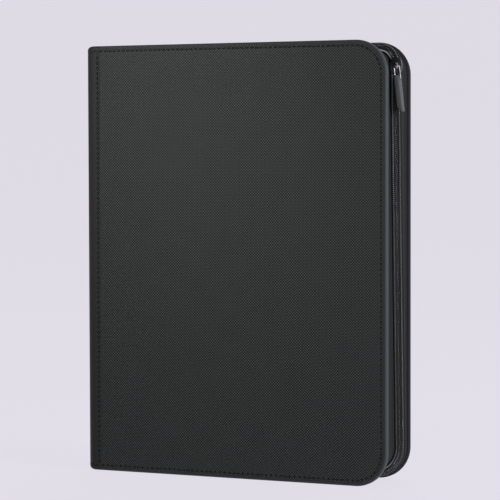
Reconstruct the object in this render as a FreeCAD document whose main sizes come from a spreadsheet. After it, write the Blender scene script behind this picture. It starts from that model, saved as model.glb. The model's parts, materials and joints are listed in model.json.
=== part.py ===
import FreeCAD, Part

import math
import os

import Sketcher

# A zip-up trading card binder standing on its bottom edges. Two padded covers are
# joined to a padded spine by wrapped strips of skin, a zip runs round the three
# free sides in a fabric gusset, and twenty nine-pocket leaves turn on the spine.
#
# Millimetres. +X runs from the spine to the fore-edge, -Y is the front cover's
# outer face, +Z is up. The origin is under the middle of the covers, on the ground.

# ---------------------------------------------------------------------------
# Driving dimensions: alias, value, what it is
# ---------------------------------------------------------------------------
DIMENSIONS = [
    ("width", 266, "spine to fore-edge"),
    ("height", 350, "bottom edge to top edge"),
    ("depth", 56, "front face to back face"),
    ("cover_depth", 5, "one padded cover, all layers"),
    ("skin_depth", 1, "embossed skin"),
    ("foam_depth", 1.2, "foam under the skin"),
    ("board_depth", 2.2, "stiff board"),
    ("lining_depth", 0.6, "lining cloth"),
    ("fore_radius", 26.5, "cover corners at the fore-edge"),
    ("spine_radius", 4, "cover corners at the spine"),
    ("edge_roll", 1.8, "rounding of the skin at a cover's edge"),
    ("rim", 1, "skin turned over a cover's edge"),
    ("gap", 0.3, "slack between neighbouring pieces"),
    ("spine_drop", 3, "spine panel's ends inside the covers' top and bottom edges"),
    ("wrap_radius", 9, "outside of the skin where it turns from spine to cover"),
    ("stitch_inset", 4.5, "seam line inside a cover's edge"),
    ("hinge_stitch_inset", 12.3, "hinge seam from the spine's outer face"),
    ("stitch_width", 0.6, "sewing thread, across"),
    ("stitch_rise", 0.25, "sewing thread, proud of the skin"),
    ("zip_recess", 4.5, "middle of the chain inside the fore-edge"),
    ("zip_end_recess", 4.7, "middle of the chain inside the top and bottom edges"),
    ("zip_top_radius", 13, "chain round the top corner"),
    ("zip_bottom_radius", 22, "chain round the bottom corner"),
    ("zip_start", 115, "end of the chain from the middle, towards the spine"),
    ("zip_shift", 8.9, "middle of the chain behind the middle of the binder"),
    ("zip_tilt", 2, "degrees that the chain leans, top forwards"),
    ("zip_twist", 60, "degrees that the chain's face turns towards the front"),
    ("coil_gap", 0.3, "each coil from the middle of the chain"),
    ("coil_width", 2.8, "one coil, across the chain"),
    ("coil_depth", 2.6, "coil, through the chain"),
    ("coil_tape_width", 4.3, "tape under one coil, across the chain"),
    ("tape_depth", 0.7, "zip tape"),
    ("tape_slack", 0.9, "gusset's wall from the tape under the coil"),
    ("tape_inset", 2.2, "gusset's outer face inside the covers' edges"),
    ("margin_inset", 1.2, "sewn margin's edge inside the covers' edges"),
    ("margin_width", 8, "tape's margin sewn on the lining"),
    ("stop_length", 3, "crimped stop at each end of the chain"),
    ("slider_rise", 155.3, "slider's middle above the chain's middle"),
    ("plate_depth", 1.2, "slider plates"),
    ("plate_width", 10, "slider's face plate"),
    ("plate_length", 12.5, "slider's face plate"),
    ("plate_round", 3.6, "corners of the slider's face plate"),
    ("back_plate_width", 7.6, "slider's back plate"),
    ("back_plate_length", 10.8, "slider's back plate"),
    ("slider_slack", 0.8, "slider plates from the coil and its tape"),
    ("web_width", 0.4, "slider's web between the coils"),
    ("web_length", 5.6, "slider's web"),
    ("bridge_width", 2.4, "slider's bridge, across"),
    ("bridge_length", 6.2, "slider's bridge, along the chain"),
    ("bridge_rise", 4, "slider's bridge above its face plate"),
    ("eye_radius", 0.9, "eye through the bridge"),
    ("wire_radius", 0.6, "pull wire"),
    ("wire_spacing", 4.3, "between the pull wire's legs"),
    ("wire_bend", 0.7, "pull wire's two bends"),
    ("wire_length", 12, "pull wire's legs below the eye"),
    ("pull_lean", 5, "degrees that the hanging pull leans sideways"),
    ("tab_width", 5.8, "pull tab"),
    ("tab_depth", 2.2, "pull tab"),
    ("tab_length", 29, "pull tab"),
    ("tab_drop", 7.6, "pull tab's top below the eye"),
    ("tab_taper", 1.9, "pull tab's cut corners"),
    ("leaf_width", 228, "one leaf, hinge line to free edge"),
    ("leaf_height", 298, "one leaf"),
    ("leaf_depth", 0.5, "one empty leaf"),
    ("leaf_pitch", 1.95, "between leaves"),
    ("leaf_step", 0.65, "each hinge line stands further out, towards the middle"),
    ("leaf_root", 7.8, "outer leaves' hinge lines from the spine's outer face"),
    ("root_slack", 0.6, "hinge lines from the binding strip"),
    ("binding_width", 41, "binding strip on the spine"),
    ("binding_height", 302, "binding strip on the spine"),
]
LEAF_COUNT = 20

# Sketches are first drawn at these sizes, and then take theirs from the sheet
DRAWN_ACROSS = 100.0
DRAWN_UP = 120.0
DRAWN_RADIUS = 3.0

QUARTER_TURN = math.pi / 2
TOUCHING = 1e-6
LEAST_CUT = 1.0

doc = FreeCAD.newDocument("card_binder")
sheet = doc.addObject("Spreadsheet::Sheet", "Dimensions")
for row, (alias, number, meaning) in enumerate(DIMENSIONS, start=1):
    sheet.set(f"A{row}", alias)
    sheet.set(f"B{row}", str(number))
    sheet.set(f"C{row}", meaning)
    sheet.setAlias(f"B{row}", alias)
doc.recompute()

SIZE = {alias: float(sheet.get(alias)) for alias, _, _ in DIMENSIONS}
X_AXIS = FreeCAD.Vector(1, 0, 0)
Z_AXIS = FreeCAD.Vector(0, 0, 1)
NO_TURN = FreeCAD.Rotation()
subparts = []


def bind(item, name, formula):
    """Bind a property to a formula over the sheet's aliases, in millimetres or degrees."""
    words = set(SIZE)
    bound = "".join(f"Dimensions.{w}" if w in words else w for w in split_words(formula))
    item.setExpression(name, bound)


def split_words(formula):
    """Cut a formula into its names and what stands between them."""
    found = [""]
    for letter in formula:
        is_word = letter.isalnum() or letter == "_"
        if found[-1] and is_word != (found[-1][-1].isalnum() or found[-1][-1] == "_"):
            found.append("")
        found[-1] += letter
    return found


def new_body(label):
    """A sub-part of its own, listed for the export."""
    body = doc.addObject("PartDesign::Body", label)
    body.Label = label
    subparts.append(body)
    return body


def new_sketch(body, role, name):
    """A sketch on one of the body's own origin planes."""
    sketch = body.newObject("Sketcher::SketchObject", name)
    plane = next(f for f in body.Origin.OriginFeatures if f.Role == role)
    sketch.AttachmentSupport = [(plane, "")]
    sketch.MapMode = "FlatFace"
    return sketch


def present_size(sketch, kind, places):
    """What a dimension measures on the sketch as drawn."""
    if kind == "Radius":
        return sketch.Geometry[places[0]].Radius
    first = sketch.getPoint(places[0], places[1])
    last = sketch.getPoint(places[2], places[3])
    return last.x - first.x if kind == "DistanceX" else last.y - first.y


def measure(sketch, kind, places, name, formula):
    """Add a dimension to a sketch and bind it to the sheet."""
    drawn = present_size(sketch, kind, places)
    index = sketch.addConstraint(Sketcher.Constraint(kind, *places, drawn))
    sketch.renameConstraint(index, name)
    bind(sketch, f"Constraints.{name}", formula)


def rectangle(sketch, width, height):
    """A rectangle centred on the sketch's origin."""
    across, up = DRAWN_ACROSS, DRAWN_UP
    corners = [(-across, -up), (across, -up), (across, up), (-across, up)]
    points = [FreeCAD.Vector(x, y, 0) for x, y in corners]
    for n in range(4):
        sketch.addGeometry(Part.LineSegment(points[n], points[(n + 1) % 4]))
    for n in range(4):
        sketch.addConstraint(Sketcher.Constraint("Coincident", n, 2, (n + 1) % 4, 1))
        sketch.addConstraint(Sketcher.Constraint("Horizontal" if n % 2 == 0 else "Vertical", n))
    sketch.addConstraint(Sketcher.Constraint("Symmetric", 0, 1, 2, 1, -1, 1))
    measure(sketch, "DistanceX", (0, 1, 0, 2), "width", width)
    measure(sketch, "DistanceY", (1, 1, 1, 2), "height", height)


def rounded_rectangle(sketch, width, height, left_radius, right_radius):
    """A centred rectangle with one radius at its left corners and one at its right."""
    across, up, r = DRAWN_ACROSS, DRAWN_UP, DRAWN_RADIUS
    centres = [(across - r, up - r), (across - r, r - up), (r - across, r - up), (r - across, up - r)]
    arcs = []
    for n, (x, y) in enumerate(centres):
        circle = Part.Circle(FreeCAD.Vector(x, y, 0), Z_AXIS, r)
        arc = Part.ArcOfCircle(circle, -n * QUARTER_TURN, (1 - n) * QUARTER_TURN)
        arcs.append(sketch.addGeometry(arc))
    ends = [
        ((r - across, up), (across - r, up)),
        ((across, up - r), (across, r - up)),
        ((across - r, -up), (r - across, -up)),
        ((-across, r - up), (-across, up - r)),
    ]
    lines = []
    for a, b in ends:
        line = Part.LineSegment(FreeCAD.Vector(*a, 0), FreeCAD.Vector(*b, 0))
        lines.append(sketch.addGeometry(line))
    for n in range(4):
        sketch.addConstraint(Sketcher.Constraint("Tangent", lines[n], 2, arcs[n], 2))
        sketch.addConstraint(Sketcher.Constraint("Tangent", arcs[n], 1, lines[(n + 1) % 4], 1))
        sketch.addConstraint(Sketcher.Constraint("Horizontal" if n % 2 == 0 else "Vertical", lines[n]))
    sketch.addConstraint(Sketcher.Constraint("Equal", arcs[0], arcs[1]))
    sketch.addConstraint(Sketcher.Constraint("Equal", arcs[2], arcs[3]))
    measure(sketch, "Radius", (arcs[0],), "right_radius", right_radius)
    measure(sketch, "Radius", (arcs[2],), "left_radius", left_radius)
    measure(sketch, "DistanceX", (-1, 1, lines[1], 1), "right", f"({width}) / 2")
    measure(sketch, "DistanceX", (lines[3], 1, -1, 1), "left", f"({width}) / 2")
    measure(sketch, "DistanceY", (-1, 1, lines[0], 1), "top", f"({height}) / 2")
    measure(sketch, "DistanceY", (lines[2], 1, -1, 1), "bottom", f"({height}) / 2")


def three_side_path(sketch, start, far, top, bottom, top_radius, bottom_radius):
    """Along the top to the fore-edge, down it, and back along the bottom.

    start, far, top and bottom are distances from the sketch's origin.
    """
    x0, x1, z1, r = -DRAWN_ACROSS, DRAWN_ACROSS, DRAWN_UP, DRAWN_RADIUS
    top_circle = Part.Circle(FreeCAD.Vector(x1 - r, z1 - r, 0), Z_AXIS, r)
    low_circle = Part.Circle(FreeCAD.Vector(x1 - r, r - z1, 0), Z_AXIS, r)
    for edge in (
        Part.LineSegment(FreeCAD.Vector(x0, z1, 0), FreeCAD.Vector(x1 - r, z1, 0)),
        Part.ArcOfCircle(top_circle, 0, QUARTER_TURN),
        Part.LineSegment(FreeCAD.Vector(x1, z1 - r, 0), FreeCAD.Vector(x1, r - z1, 0)),
        Part.ArcOfCircle(low_circle, 3 * QUARTER_TURN, 4 * QUARTER_TURN),
        Part.LineSegment(FreeCAD.Vector(x1 - r, -z1, 0), FreeCAD.Vector(x0, -z1, 0)),
    ):
        sketch.addGeometry(edge)
    for places in ((0, 2, 1, 2), (1, 1, 2, 1), (2, 2, 3, 2), (3, 1, 4, 1)):
        sketch.addConstraint(Sketcher.Constraint("Tangent", *places))
    sketch.addConstraint(Sketcher.Constraint("Horizontal", 0))
    sketch.addConstraint(Sketcher.Constraint("Vertical", 2))
    sketch.addConstraint(Sketcher.Constraint("Horizontal", 4))
    measure(sketch, "Radius", (1,), "top_radius", top_radius)
    measure(sketch, "Radius", (3,), "bottom_radius", bottom_radius)
    measure(sketch, "DistanceX", (-1, 1, 2, 1), "far", far)
    measure(sketch, "DistanceY", (-1, 1, 0, 1), "top", top)
    measure(sketch, "DistanceY", (4, 1, -1, 1), "bottom", bottom)
    measure(sketch, "DistanceX", (0, 1, -1, 1), "top_start", start)
    measure(sketch, "DistanceX", (4, 2, -1, 1), "bottom_start", start)


def polygon(sketch, points):
    """A closed outline of straight lines through points."""
    vectors = [FreeCAD.Vector(x, y, 0) for x, y in points]
    for n, point in enumerate(vectors):
        sketch.addGeometry(Part.LineSegment(point, vectors[(n + 1) % len(vectors)]))
    for n in range(len(vectors)):
        sketch.addConstraint(Sketcher.Constraint("Coincident", n, 2, (n + 1) % len(vectors), 1))


def pad(body, sketch, name, length, backwards=False):
    """Pad a sketch by a length from the sheet."""
    feature = body.newObject("PartDesign::Pad", name)
    feature.Profile = sketch
    feature.Reversed = backwards
    bind(feature, "Length", length)
    return feature


def edges_where(shape, test):
    """Names of the edges of a shape that pass a test."""
    return [f"Edge{n}" for n, edge in enumerate(shape.Edges, start=1) if test(edge)]


def round_edges(body, feature, name, radius, test):
    """Round the edges of the last feature that pass a test."""
    doc.recompute()
    rounding = body.newObject("PartDesign::Fillet", name)
    rounding.Base = (feature, edges_where(feature.Shape, test))
    bind(rounding, "Radius", radius)
    return rounding


def place(body, x="0", y="0", z="0", turn=NO_TURN):
    """Put a body at a point given by the sheet, turned."""
    body.Placement = FreeCAD.Placement(FreeCAD.Vector(), turn)
    for axis, formula in (("x", x), ("y", y), ("z", z)):
        bind(body, f"Placement.Base.{axis}", formula)


# ---------------------------------------------------------------------------
# Covers: skin, foam, board and lining, from the outside in
# ---------------------------------------------------------------------------
COVER_WIDTH = "(width - wrap_radius - gap)"
COVER_MIDDLE = "(wrap_radius + gap) / 2"
LAYER_INSET = "(rim + gap)"


def flat_layer(label, width, height, radii, thickness, position, turn):
    """One flat layer of a padded panel, its outer face at the position."""
    body = new_body(label)
    outline = new_sketch(body, "XZ_Plane", f"{label}_outline")
    if radii:
        rounded_rectangle(outline, width, height, *radii)
    else:
        rectangle(outline, width, height)
    pad(body, outline, f"{label}_pad", thickness, backwards=True)
    place(body, *position, turn)
    return body


def cover_skin(label, radii, position, turn):
    """Skin over a cover: a shallow tray whose rim wraps the layers under it."""
    body = new_body(label)
    outline = new_sketch(body, "XZ_Plane", f"{label}_outline")
    rounded_rectangle(outline, COVER_WIDTH, "height", *radii)
    tray = pad(body, outline, f"{label}_tray", "cover_depth - lining_depth", backwards=True)
    inside = new_sketch(body, "XZ_Plane", f"{label}_inside")
    bind(inside, "AttachmentOffset.Base.z", "-skin_depth")
    inner_radii = [f"{radius} - rim" for radius in radii]
    rounded_rectangle(inside, f"{COVER_WIDTH} - 2 * rim", "height - 2 * rim", *inner_radii)
    hollow = body.newObject("PartDesign::Pocket", f"{label}_hollow")
    hollow.Profile = inside
    bind(hollow, "Length", "cover_depth")
    doc.recompute()
    if not hollow.Shape.Volume < tray.Shape.Volume - LEAST_CUT:
        raise ValueError(f"{label}: its pocket cut nothing")

    def on_outer_face(edge):
        return all(abs(vertex.Y) < TOUCHING for vertex in edge.Vertexes)

    round_edges(body, hollow, f"{label}_rolled_edge", "edge_roll", on_outer_face)
    place(body, *position, turn)
    return body


def padded_cover(side, sign, turn, radii):
    """All four layers of a cover. sign is -1 at the front and +1 at the back."""
    x = COVER_MIDDLE

    def y_at(inwards):
        return f"{sign} * (depth / 2 - ({inwards}))"

    middle = "height / 2"
    inset_radii = [f"{radius} - {LAYER_INSET}" for radius in radii]
    inset_width = f"{COVER_WIDTH} - 2 * {LAYER_INSET}"
    inset_height = f"height - 2 * {LAYER_INSET}"
    cover_skin(f"{side}_cover_skin", radii, (x, y_at("0"), middle), turn)
    foam_at = "skin_depth"
    board_at = f"{foam_at} + foam_depth"
    lining_at = "cover_depth - lining_depth"
    flat_layer(
        f"{side}_cover_foam", inset_width, inset_height, inset_radii, "foam_depth",
        (x, y_at(foam_at), middle), turn,
    )
    flat_layer(
        f"{side}_cover_board", inset_width, inset_height, inset_radii, "board_depth",
        (x, y_at(board_at), middle), turn,
    )
    lining_radii = [f"{radius} - rim / 2" for radius in radii]
    flat_layer(
        f"{side}_cover_lining", f"{COVER_WIDTH} - rim", "height - rim", lining_radii, "lining_depth",
        (x, y_at(lining_at), middle), turn,
    )


def seams(side, sign):
    """Two runs of sewing thread on a cover: round its free edges and by the hinge."""
    face = f"{sign} * depth / 2"
    edge = new_body(f"{side}_edge_stitching")
    path = new_sketch(edge, "XZ_Plane", f"{side}_edge_path")
    three_side_path(
        path,
        "width / 2 - hinge_stitch_inset",
        "width / 2 - stitch_inset",
        "height / 2 - stitch_inset",
        "height / 2 - stitch_inset",
        "fore_radius - stitch_inset",
        "fore_radius - stitch_inset",
    )
    section = new_sketch(edge, "YZ_Plane", f"{side}_thread")
    bind(section, "AttachmentOffset.Base.x", f"{sign} * stitch_rise / 2")
    bind(section, "AttachmentOffset.Base.y", "height / 2 - stitch_inset")
    bind(section, "AttachmentOffset.Base.z", "hinge_stitch_inset - width / 2")
    rectangle(section, "stitch_rise", "stitch_width")
    thread = edge.newObject("PartDesign::AdditivePipe", f"{side}_thread_run")
    thread.Profile = section
    thread.Spine = path
    place(edge, "0", face, "height / 2")

    hinge = new_body(f"{side}_hinge_stitching")
    outline = new_sketch(hinge, "XZ_Plane", f"{side}_hinge_outline")
    rectangle(outline, "stitch_width", "height - 2 * stitch_inset - 2 * stitch_width")
    pad(hinge, outline, f"{side}_hinge_thread", "stitch_rise", backwards=sign > 0)
    place(hinge, "hinge_stitch_inset - width / 2", face, "height / 2")


half_turn = FreeCAD.Rotation(Z_AXIS, 180)
padded_cover("front", -1, NO_TURN, ["spine_radius", "fore_radius"])
padded_cover("back", 1, half_turn, ["fore_radius", "spine_radius"])
seams("front", -1)
seams("back", 1)


# ---------------------------------------------------------------------------
# Spine: the same four layers, two wrapped strips of skin, and the binding strip
# ---------------------------------------------------------------------------
SPINE_WIDTH = "(depth - 2 * wrap_radius - 2 * gap)"


def spine_panel():
    """The spine's layers stand square to the covers and stop a little short of their ends."""
    turn = FreeCAD.Rotation(Z_AXIS, -90)
    tall = "height - 2 * spine_drop"
    short = f"{tall} - 2 * {LAYER_INSET}"
    layers = [
        ("spine_skin", tall, "skin_depth", "0"),
        ("spine_foam", short, "foam_depth", "skin_depth"),
        ("spine_board", short, "board_depth", "skin_depth + foam_depth"),
        ("spine_lining", f"{tall} - rim", "lining_depth", "cover_depth - lining_depth"),
    ]
    for label, height, thickness, inwards in layers:
        position = (f"{inwards} - width / 2", "0", "height / 2")
        flat_layer(label, SPINE_WIDTH, height, None, thickness, position, turn)


def wrapped_strip(label, sign):
    """Skin bent a quarter turn from the spine to a cover."""
    body = new_body(label)
    section = new_sketch(body, "XY_Plane", f"{label}_section")
    outer = SIZE["wrap_radius"]
    inner = outer - SIZE["skin_depth"]
    first = 2 * QUARTER_TURN if sign < 0 else QUARTER_TURN
    centre = FreeCAD.Vector()
    for radius in (outer, inner):
        circle = Part.Circle(centre, Z_AXIS, radius)
        section.addGeometry(Part.ArcOfCircle(circle, first, first + QUARTER_TURN))
    ends = []
    for angle in (first, first + QUARTER_TURN):
        way = FreeCAD.Vector(math.cos(angle), math.sin(angle), 0)
        ends.append(section.addGeometry(Part.LineSegment(way * inner, way * outer)))
    for arc in (0, 1):
        section.addConstraint(Sketcher.Constraint("Coincident", arc, 3, -1, 1))
    for end, line in enumerate(ends, start=1):
        section.addConstraint(Sketcher.Constraint("Coincident", line, 1, 1, end))
        section.addConstraint(Sketcher.Constraint("Coincident", line, 2, 0, end))
    upright, level = (ends[1], ends[0]) if sign < 0 else (ends[0], ends[1])
    section.addConstraint(Sketcher.Constraint("Vertical", upright))
    section.addConstraint(Sketcher.Constraint("Horizontal", level))
    measure(section, "Radius", (0,), "outside", "wrap_radius")
    measure(section, "Radius", (1,), "inside", "wrap_radius - skin_depth")
    pad(body, section, f"{label}_pad", "height - rim")
    place(body, "wrap_radius - width / 2", f"{sign} * (depth / 2 - wrap_radius)", "rim / 2")


def binding_strip():
    """Strip on the spine that carries the leaves, thickest in the middle."""
    body = new_body("page_binding_strip")
    section = new_sketch(body, "XY_Plane", "binding_section")
    half = SIZE["binding_width"] / 2
    middle = SIZE["leaf_pitch"] / 2
    outermost = SIZE["leaf_pitch"] * (LEAF_COUNT - 1) / 2
    slope = SIZE["leaf_step"] / SIZE["leaf_pitch"]
    foot = SIZE["cover_depth"]
    shoulder = SIZE["leaf_root"] - SIZE["root_slack"] - slope * (half - outermost)
    crest = SIZE["leaf_root"] - SIZE["root_slack"] + slope * (outermost - middle)
    corners = [(foot, -half), (shoulder, -half), (crest, -middle)]
    polygon(section, corners + [(x, -y) for x, y in reversed(corners)])
    sides = {0: "Horizontal", 4: "Horizontal", 5: "Vertical"}
    for line, way in sides.items():
        section.addConstraint(Sketcher.Constraint(way, line))
    for first, last in ((0, 4), (1, 3)):
        section.addConstraint(Sketcher.Constraint("Symmetric", first, 2, last, 1, -1))
    outer_leaf = f"leaf_pitch * {(LEAF_COUNT - 1) / 2}"
    rise = "leaf_step / leaf_pitch"
    root = "leaf_root - root_slack"
    at_shoulder = f"{root} - {rise} * (binding_width / 2 - {outer_leaf})"
    at_crest = f"{root} + {rise} * ({outer_leaf} - leaf_pitch / 2)"
    measure(section, "DistanceX", (-1, 1, 0, 1), "foot", "cover_depth")
    measure(section, "DistanceX", (-1, 1, 0, 2), "shoulder", at_shoulder)
    measure(section, "DistanceX", (-1, 1, 1, 2), "crest", at_crest)
    measure(section, "DistanceY", (0, 2, 4, 1), "across", "binding_width")
    measure(section, "DistanceY", (1, 2, 3, 1), "flat", "leaf_pitch")
    pad(body, section, "binding_pad", "binding_height")
    place(body, "-width / 2", "0", "(height - binding_height) / 2")


spine_panel()
wrapped_strip("front_hinge_strip", -1)
wrapped_strip("back_hinge_strip", 1)
binding_strip()


# ---------------------------------------------------------------------------
# Zip chain: it lies in a plane that leans, with its face turned to the front
# ---------------------------------------------------------------------------
chain_lean = FreeCAD.Rotation(X_AXIS, SIZE["zip_tilt"])
chain_turn = chain_lean.multiply(FreeCAD.Rotation(Z_AXIS, -SIZE["zip_twist"]))
chain_middle = FreeCAD.Vector(0, SIZE["zip_shift"], SIZE["height"] / 2)


def chain_half(label, sign):
    """One coil on the edge of its tape, sign -1 for the front half."""
    body = new_body(label)
    path = new_sketch(body, "XZ_Plane", f"{label}_path")
    three_side_path(
        path,
        "zip_start",
        "width / 2 - zip_recess",
        "height / 2 - zip_end_recess",
        "height / 2 - zip_end_recess",
        "zip_top_radius",
        "zip_bottom_radius",
    )
    section = new_sketch(body, "YZ_Plane", f"{label}_section")
    section_turn = FreeCAD.Rotation(Z_AXIS, SIZE["zip_twist"])
    section.AttachmentOffset = FreeCAD.Placement(FreeCAD.Vector(), section_turn)
    bind(section, "AttachmentOffset.Base.y", "height / 2 - zip_end_recess")
    bind(section, "AttachmentOffset.Base.z", "-zip_start")
    inner = SIZE["coil_gap"]
    coil = inner + SIZE["coil_width"]
    tape = inner + SIZE["coil_tape_width"]
    face = SIZE["coil_depth"] / 2
    back = face + SIZE["tape_depth"]
    tape_side = [(inner, -back), (tape, -back), (tape, -face)]
    outline = tape_side + [(coil, -face), (coil, face), (inner, face)]
    polygon(section, [(sign * x, y) for x, y in outline])
    for line in range(len(outline)):
        way = "Horizontal" if line % 2 == 0 else "Vertical"
        section.addConstraint(Sketcher.Constraint(way, line))
    near, far = ((-1, 1), (0, 1)) if sign > 0 else ((0, 1), (-1, 1))
    measure(section, "DistanceX", (*near, *far), "gap", "coil_gap")
    ends = (0, 1, 0, 2) if sign > 0 else (0, 2, 0, 1)
    measure(section, "DistanceX", ends, "tape_width", "coil_tape_width")
    ends = (4, 2, 4, 1) if sign > 0 else (4, 1, 4, 2)
    measure(section, "DistanceX", ends, "coil_width", "coil_width")
    measure(section, "DistanceY", (1, 1, 1, 2), "tape_depth", "tape_depth")
    measure(section, "DistanceY", (3, 1, 3, 2), "coil_depth", "coil_depth")
    measure(section, "DistanceY", (-1, 1, 3, 2), "face", "coil_depth / 2")
    sweep = body.newObject("PartDesign::AdditivePipe", f"{label}_sweep")
    sweep.Profile = section
    sweep.Spine = path
    place(body, "0", "zip_shift", "height / 2", chain_lean)


def side_band(start, inset_far, inset_ends, top_radius, bottom_radius, thickness):
    """Closed outline of a thin band along three sides, in the XZ plane about its middle."""
    far = SIZE["width"] / 2 - inset_far
    high = SIZE["height"] / 2 - inset_ends
    edges = []
    rails = []
    for inwards in (0.0, thickness):
        x = far - inwards
        z = high - inwards
        r_top = top_radius - inwards
        r_low = bottom_radius - inwards
        slant = math.sqrt(0.5)
        stations = [
            (-start, z),
            (x - r_top, z),
            (x - r_top * (1 - slant), z - r_top * (1 - slant)),
            (x, z - r_top),
            (x, r_low - z),
            (x - r_low * (1 - slant), r_low * (1 - slant) - z),
            (x - r_low, -z),
            (-start, -z),
        ]
        rails.append([FreeCAD.Vector(px, 0, pz) for px, pz in stations])
    for rail in rails:
        edges.append([
            Part.LineSegment(rail[0], rail[1]).toShape(),
            Part.Arc(rail[1], rail[2], rail[3]).toShape(),
            Part.LineSegment(rail[3], rail[4]).toShape(),
            Part.Arc(rail[4], rail[5], rail[6]).toShape(),
            Part.LineSegment(rail[6], rail[7]).toShape(),
        ])
    outer, inner = rails
    closing = Part.LineSegment(outer[-1], inner[-1]).toShape()
    opening = Part.LineSegment(inner[0], outer[0]).toShape()
    return Part.Wire(edges[0] + [closing] + edges[1][::-1] + [opening])


def gusset_tape(label, sign):
    """Half of the gusset: a margin sewn on the lining, and a wall out to the chain."""
    inner_face = SIZE["depth"] / 2 - SIZE["cover_depth"]
    tape = SIZE["tape_depth"]
    wall_start = SIZE["width"] / 2 - SIZE["wrap_radius"] - SIZE["stitch_inset"]
    upright = FreeCAD.Vector(0, 0, SIZE["height"] / 2)

    margin_inset = SIZE["margin_inset"]
    margin_radius = SIZE["fore_radius"] - margin_inset
    margin = side_band(
        wall_start, margin_inset, margin_inset, margin_radius, margin_radius, SIZE["margin_width"]
    )
    margin.translate(upright + FreeCAD.Vector(0, sign * inner_face, 0))
    margin_solid = Part.Face(margin).extrude(FreeCAD.Vector(0, -sign * tape, 0))

    wall_inset = SIZE["tape_inset"]
    wall_radius = SIZE["fore_radius"] - wall_inset
    at_cover = side_band(wall_start, wall_inset, wall_inset, wall_radius, wall_radius, tape)
    at_cover.translate(upright + FreeCAD.Vector(0, sign * (inner_face - tape / 2), 0))

    twist = math.radians(SIZE["zip_twist"])
    across = sign * (SIZE["coil_gap"] + SIZE["coil_tape_width"] + SIZE["tape_slack"])
    under = -(SIZE["coil_depth"] + tape) / 2
    outwards = across * math.sin(twist) + under * math.cos(twist)
    backwards = across * math.cos(twist) - under * math.sin(twist)
    at_chain = side_band(
        wall_start,
        SIZE["zip_recess"] - outwards,
        SIZE["zip_end_recess"] - outwards,
        SIZE["zip_top_radius"] + outwards,
        SIZE["zip_bottom_radius"] + outwards,
        tape,
    )
    at_chain.translate(FreeCAD.Vector(0, backwards, 0))
    at_chain.Placement = FreeCAD.Placement(chain_middle, chain_lean).multiply(at_chain.Placement)

    wall_solid = Part.makeLoft([at_cover, at_chain], True, True)
    tape_piece = doc.addObject("Part::Feature", label)
    tape_piece.Label = label
    tape_piece.Shape = margin_solid.fuse(wall_solid).removeSplitter()
    tape_piece.Placement = FreeCAD.Placement()
    subparts.append(tape_piece)


def end_stop(label, sign):
    """Crimped stop on the back coil, at the spine end of the top or bottom run."""
    stop = doc.addObject("Part::Box", label)
    stop.Label = label
    bind(stop, "Length", "stop_length")
    bind(stop, "Width", "coil_width")
    bind(stop, "Height", "coil_depth")
    run = SIZE["height"] / 2 - SIZE["zip_end_recess"]
    low_corner = FreeCAD.Vector(0, SIZE["coil_gap"], -SIZE["coil_depth"] / 2)
    section_turn = FreeCAD.Rotation(X_AXIS, SIZE["zip_twist"])
    if sign < 0:
        low_corner.y = -SIZE["coil_gap"] - SIZE["coil_width"]
        section_turn = FreeCAD.Rotation(X_AXIS, 180 - SIZE["zip_twist"])
    start = FreeCAD.Vector(-SIZE["zip_start"] - SIZE["stop_length"], 0, sign * run)
    start += section_turn.multVec(low_corner)
    in_chain = FreeCAD.Placement(start, section_turn)
    stop.Placement = FreeCAD.Placement(chain_middle, chain_lean).multiply(in_chain)
    subparts.append(stop)


chain_half("front_zip_coil", -1)
chain_half("back_zip_coil", 1)
gusset_tape("front_zip_tape", -1)
gusset_tape("back_zip_tape", 1)
end_stop("zip_top_stop", 1)
end_stop("zip_bottom_stop", -1)


# ---------------------------------------------------------------------------
# Slider: face plate and back plate joined by a web between the coils, and a bridge
# Its own axes: X out of the chain's face, Y across the chain, Z up the chain
# ---------------------------------------------------------------------------
slider_middle = FreeCAD.Vector(SIZE["width"] / 2 - SIZE["zip_recess"], 0, SIZE["slider_rise"])
slider_place = FreeCAD.Placement(
    chain_middle + chain_lean.multVec(slider_middle), chain_turn
)
FACE_PLATE = "(coil_depth / 2 + slider_slack)"
BACK_PLATE = "(coil_depth / 2 + tape_depth + slider_slack)"
plate_face = SIZE["coil_depth"] / 2 + SIZE["slider_slack"] + SIZE["plate_depth"]
eye_reach = plate_face + SIZE["bridge_rise"] / 2


def upright_edge(edge):
    """An edge that runs along the slider's X axis."""
    ends = [vertex.Point for vertex in edge.Vertexes]
    if len(ends) < 2:
        return False
    return abs(ends[0].y - ends[1].y) < TOUCHING and abs(ends[0].z - ends[1].z) < TOUCHING


def slider_body():
    """Both plates and the web, one casting."""
    body = new_body("slider_body")
    face = new_sketch(body, "YZ_Plane", "face_plate_outline")
    bind(face, "AttachmentOffset.Base.z", FACE_PLATE)
    rectangle(face, "plate_width", "plate_length")
    plate = pad(body, face, "face_plate", "plate_depth")
    round_edges(body, plate, "face_plate_corners", "plate_round", upright_edge)
    web = new_sketch(body, "YZ_Plane", "web_outline")
    bind(web, "AttachmentOffset.Base.z", f"-{BACK_PLATE}")
    bind(web, "AttachmentOffset.Base.y", "(back_plate_length - plate_length) / 2")
    rectangle(web, "web_width", "web_length")
    pad(body, web, "web", f"{FACE_PLATE} + {BACK_PLATE}")
    back = new_sketch(body, "YZ_Plane", "back_plate_outline")
    bind(back, "AttachmentOffset.Base.z", f"-{BACK_PLATE}")
    bind(back, "AttachmentOffset.Base.y", "(back_plate_length - plate_length) / 2")
    rectangle(back, "back_plate_width", "back_plate_length")
    pad(body, back, "back_plate", "plate_depth", backwards=True)
    body.Placement = slider_place


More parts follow.
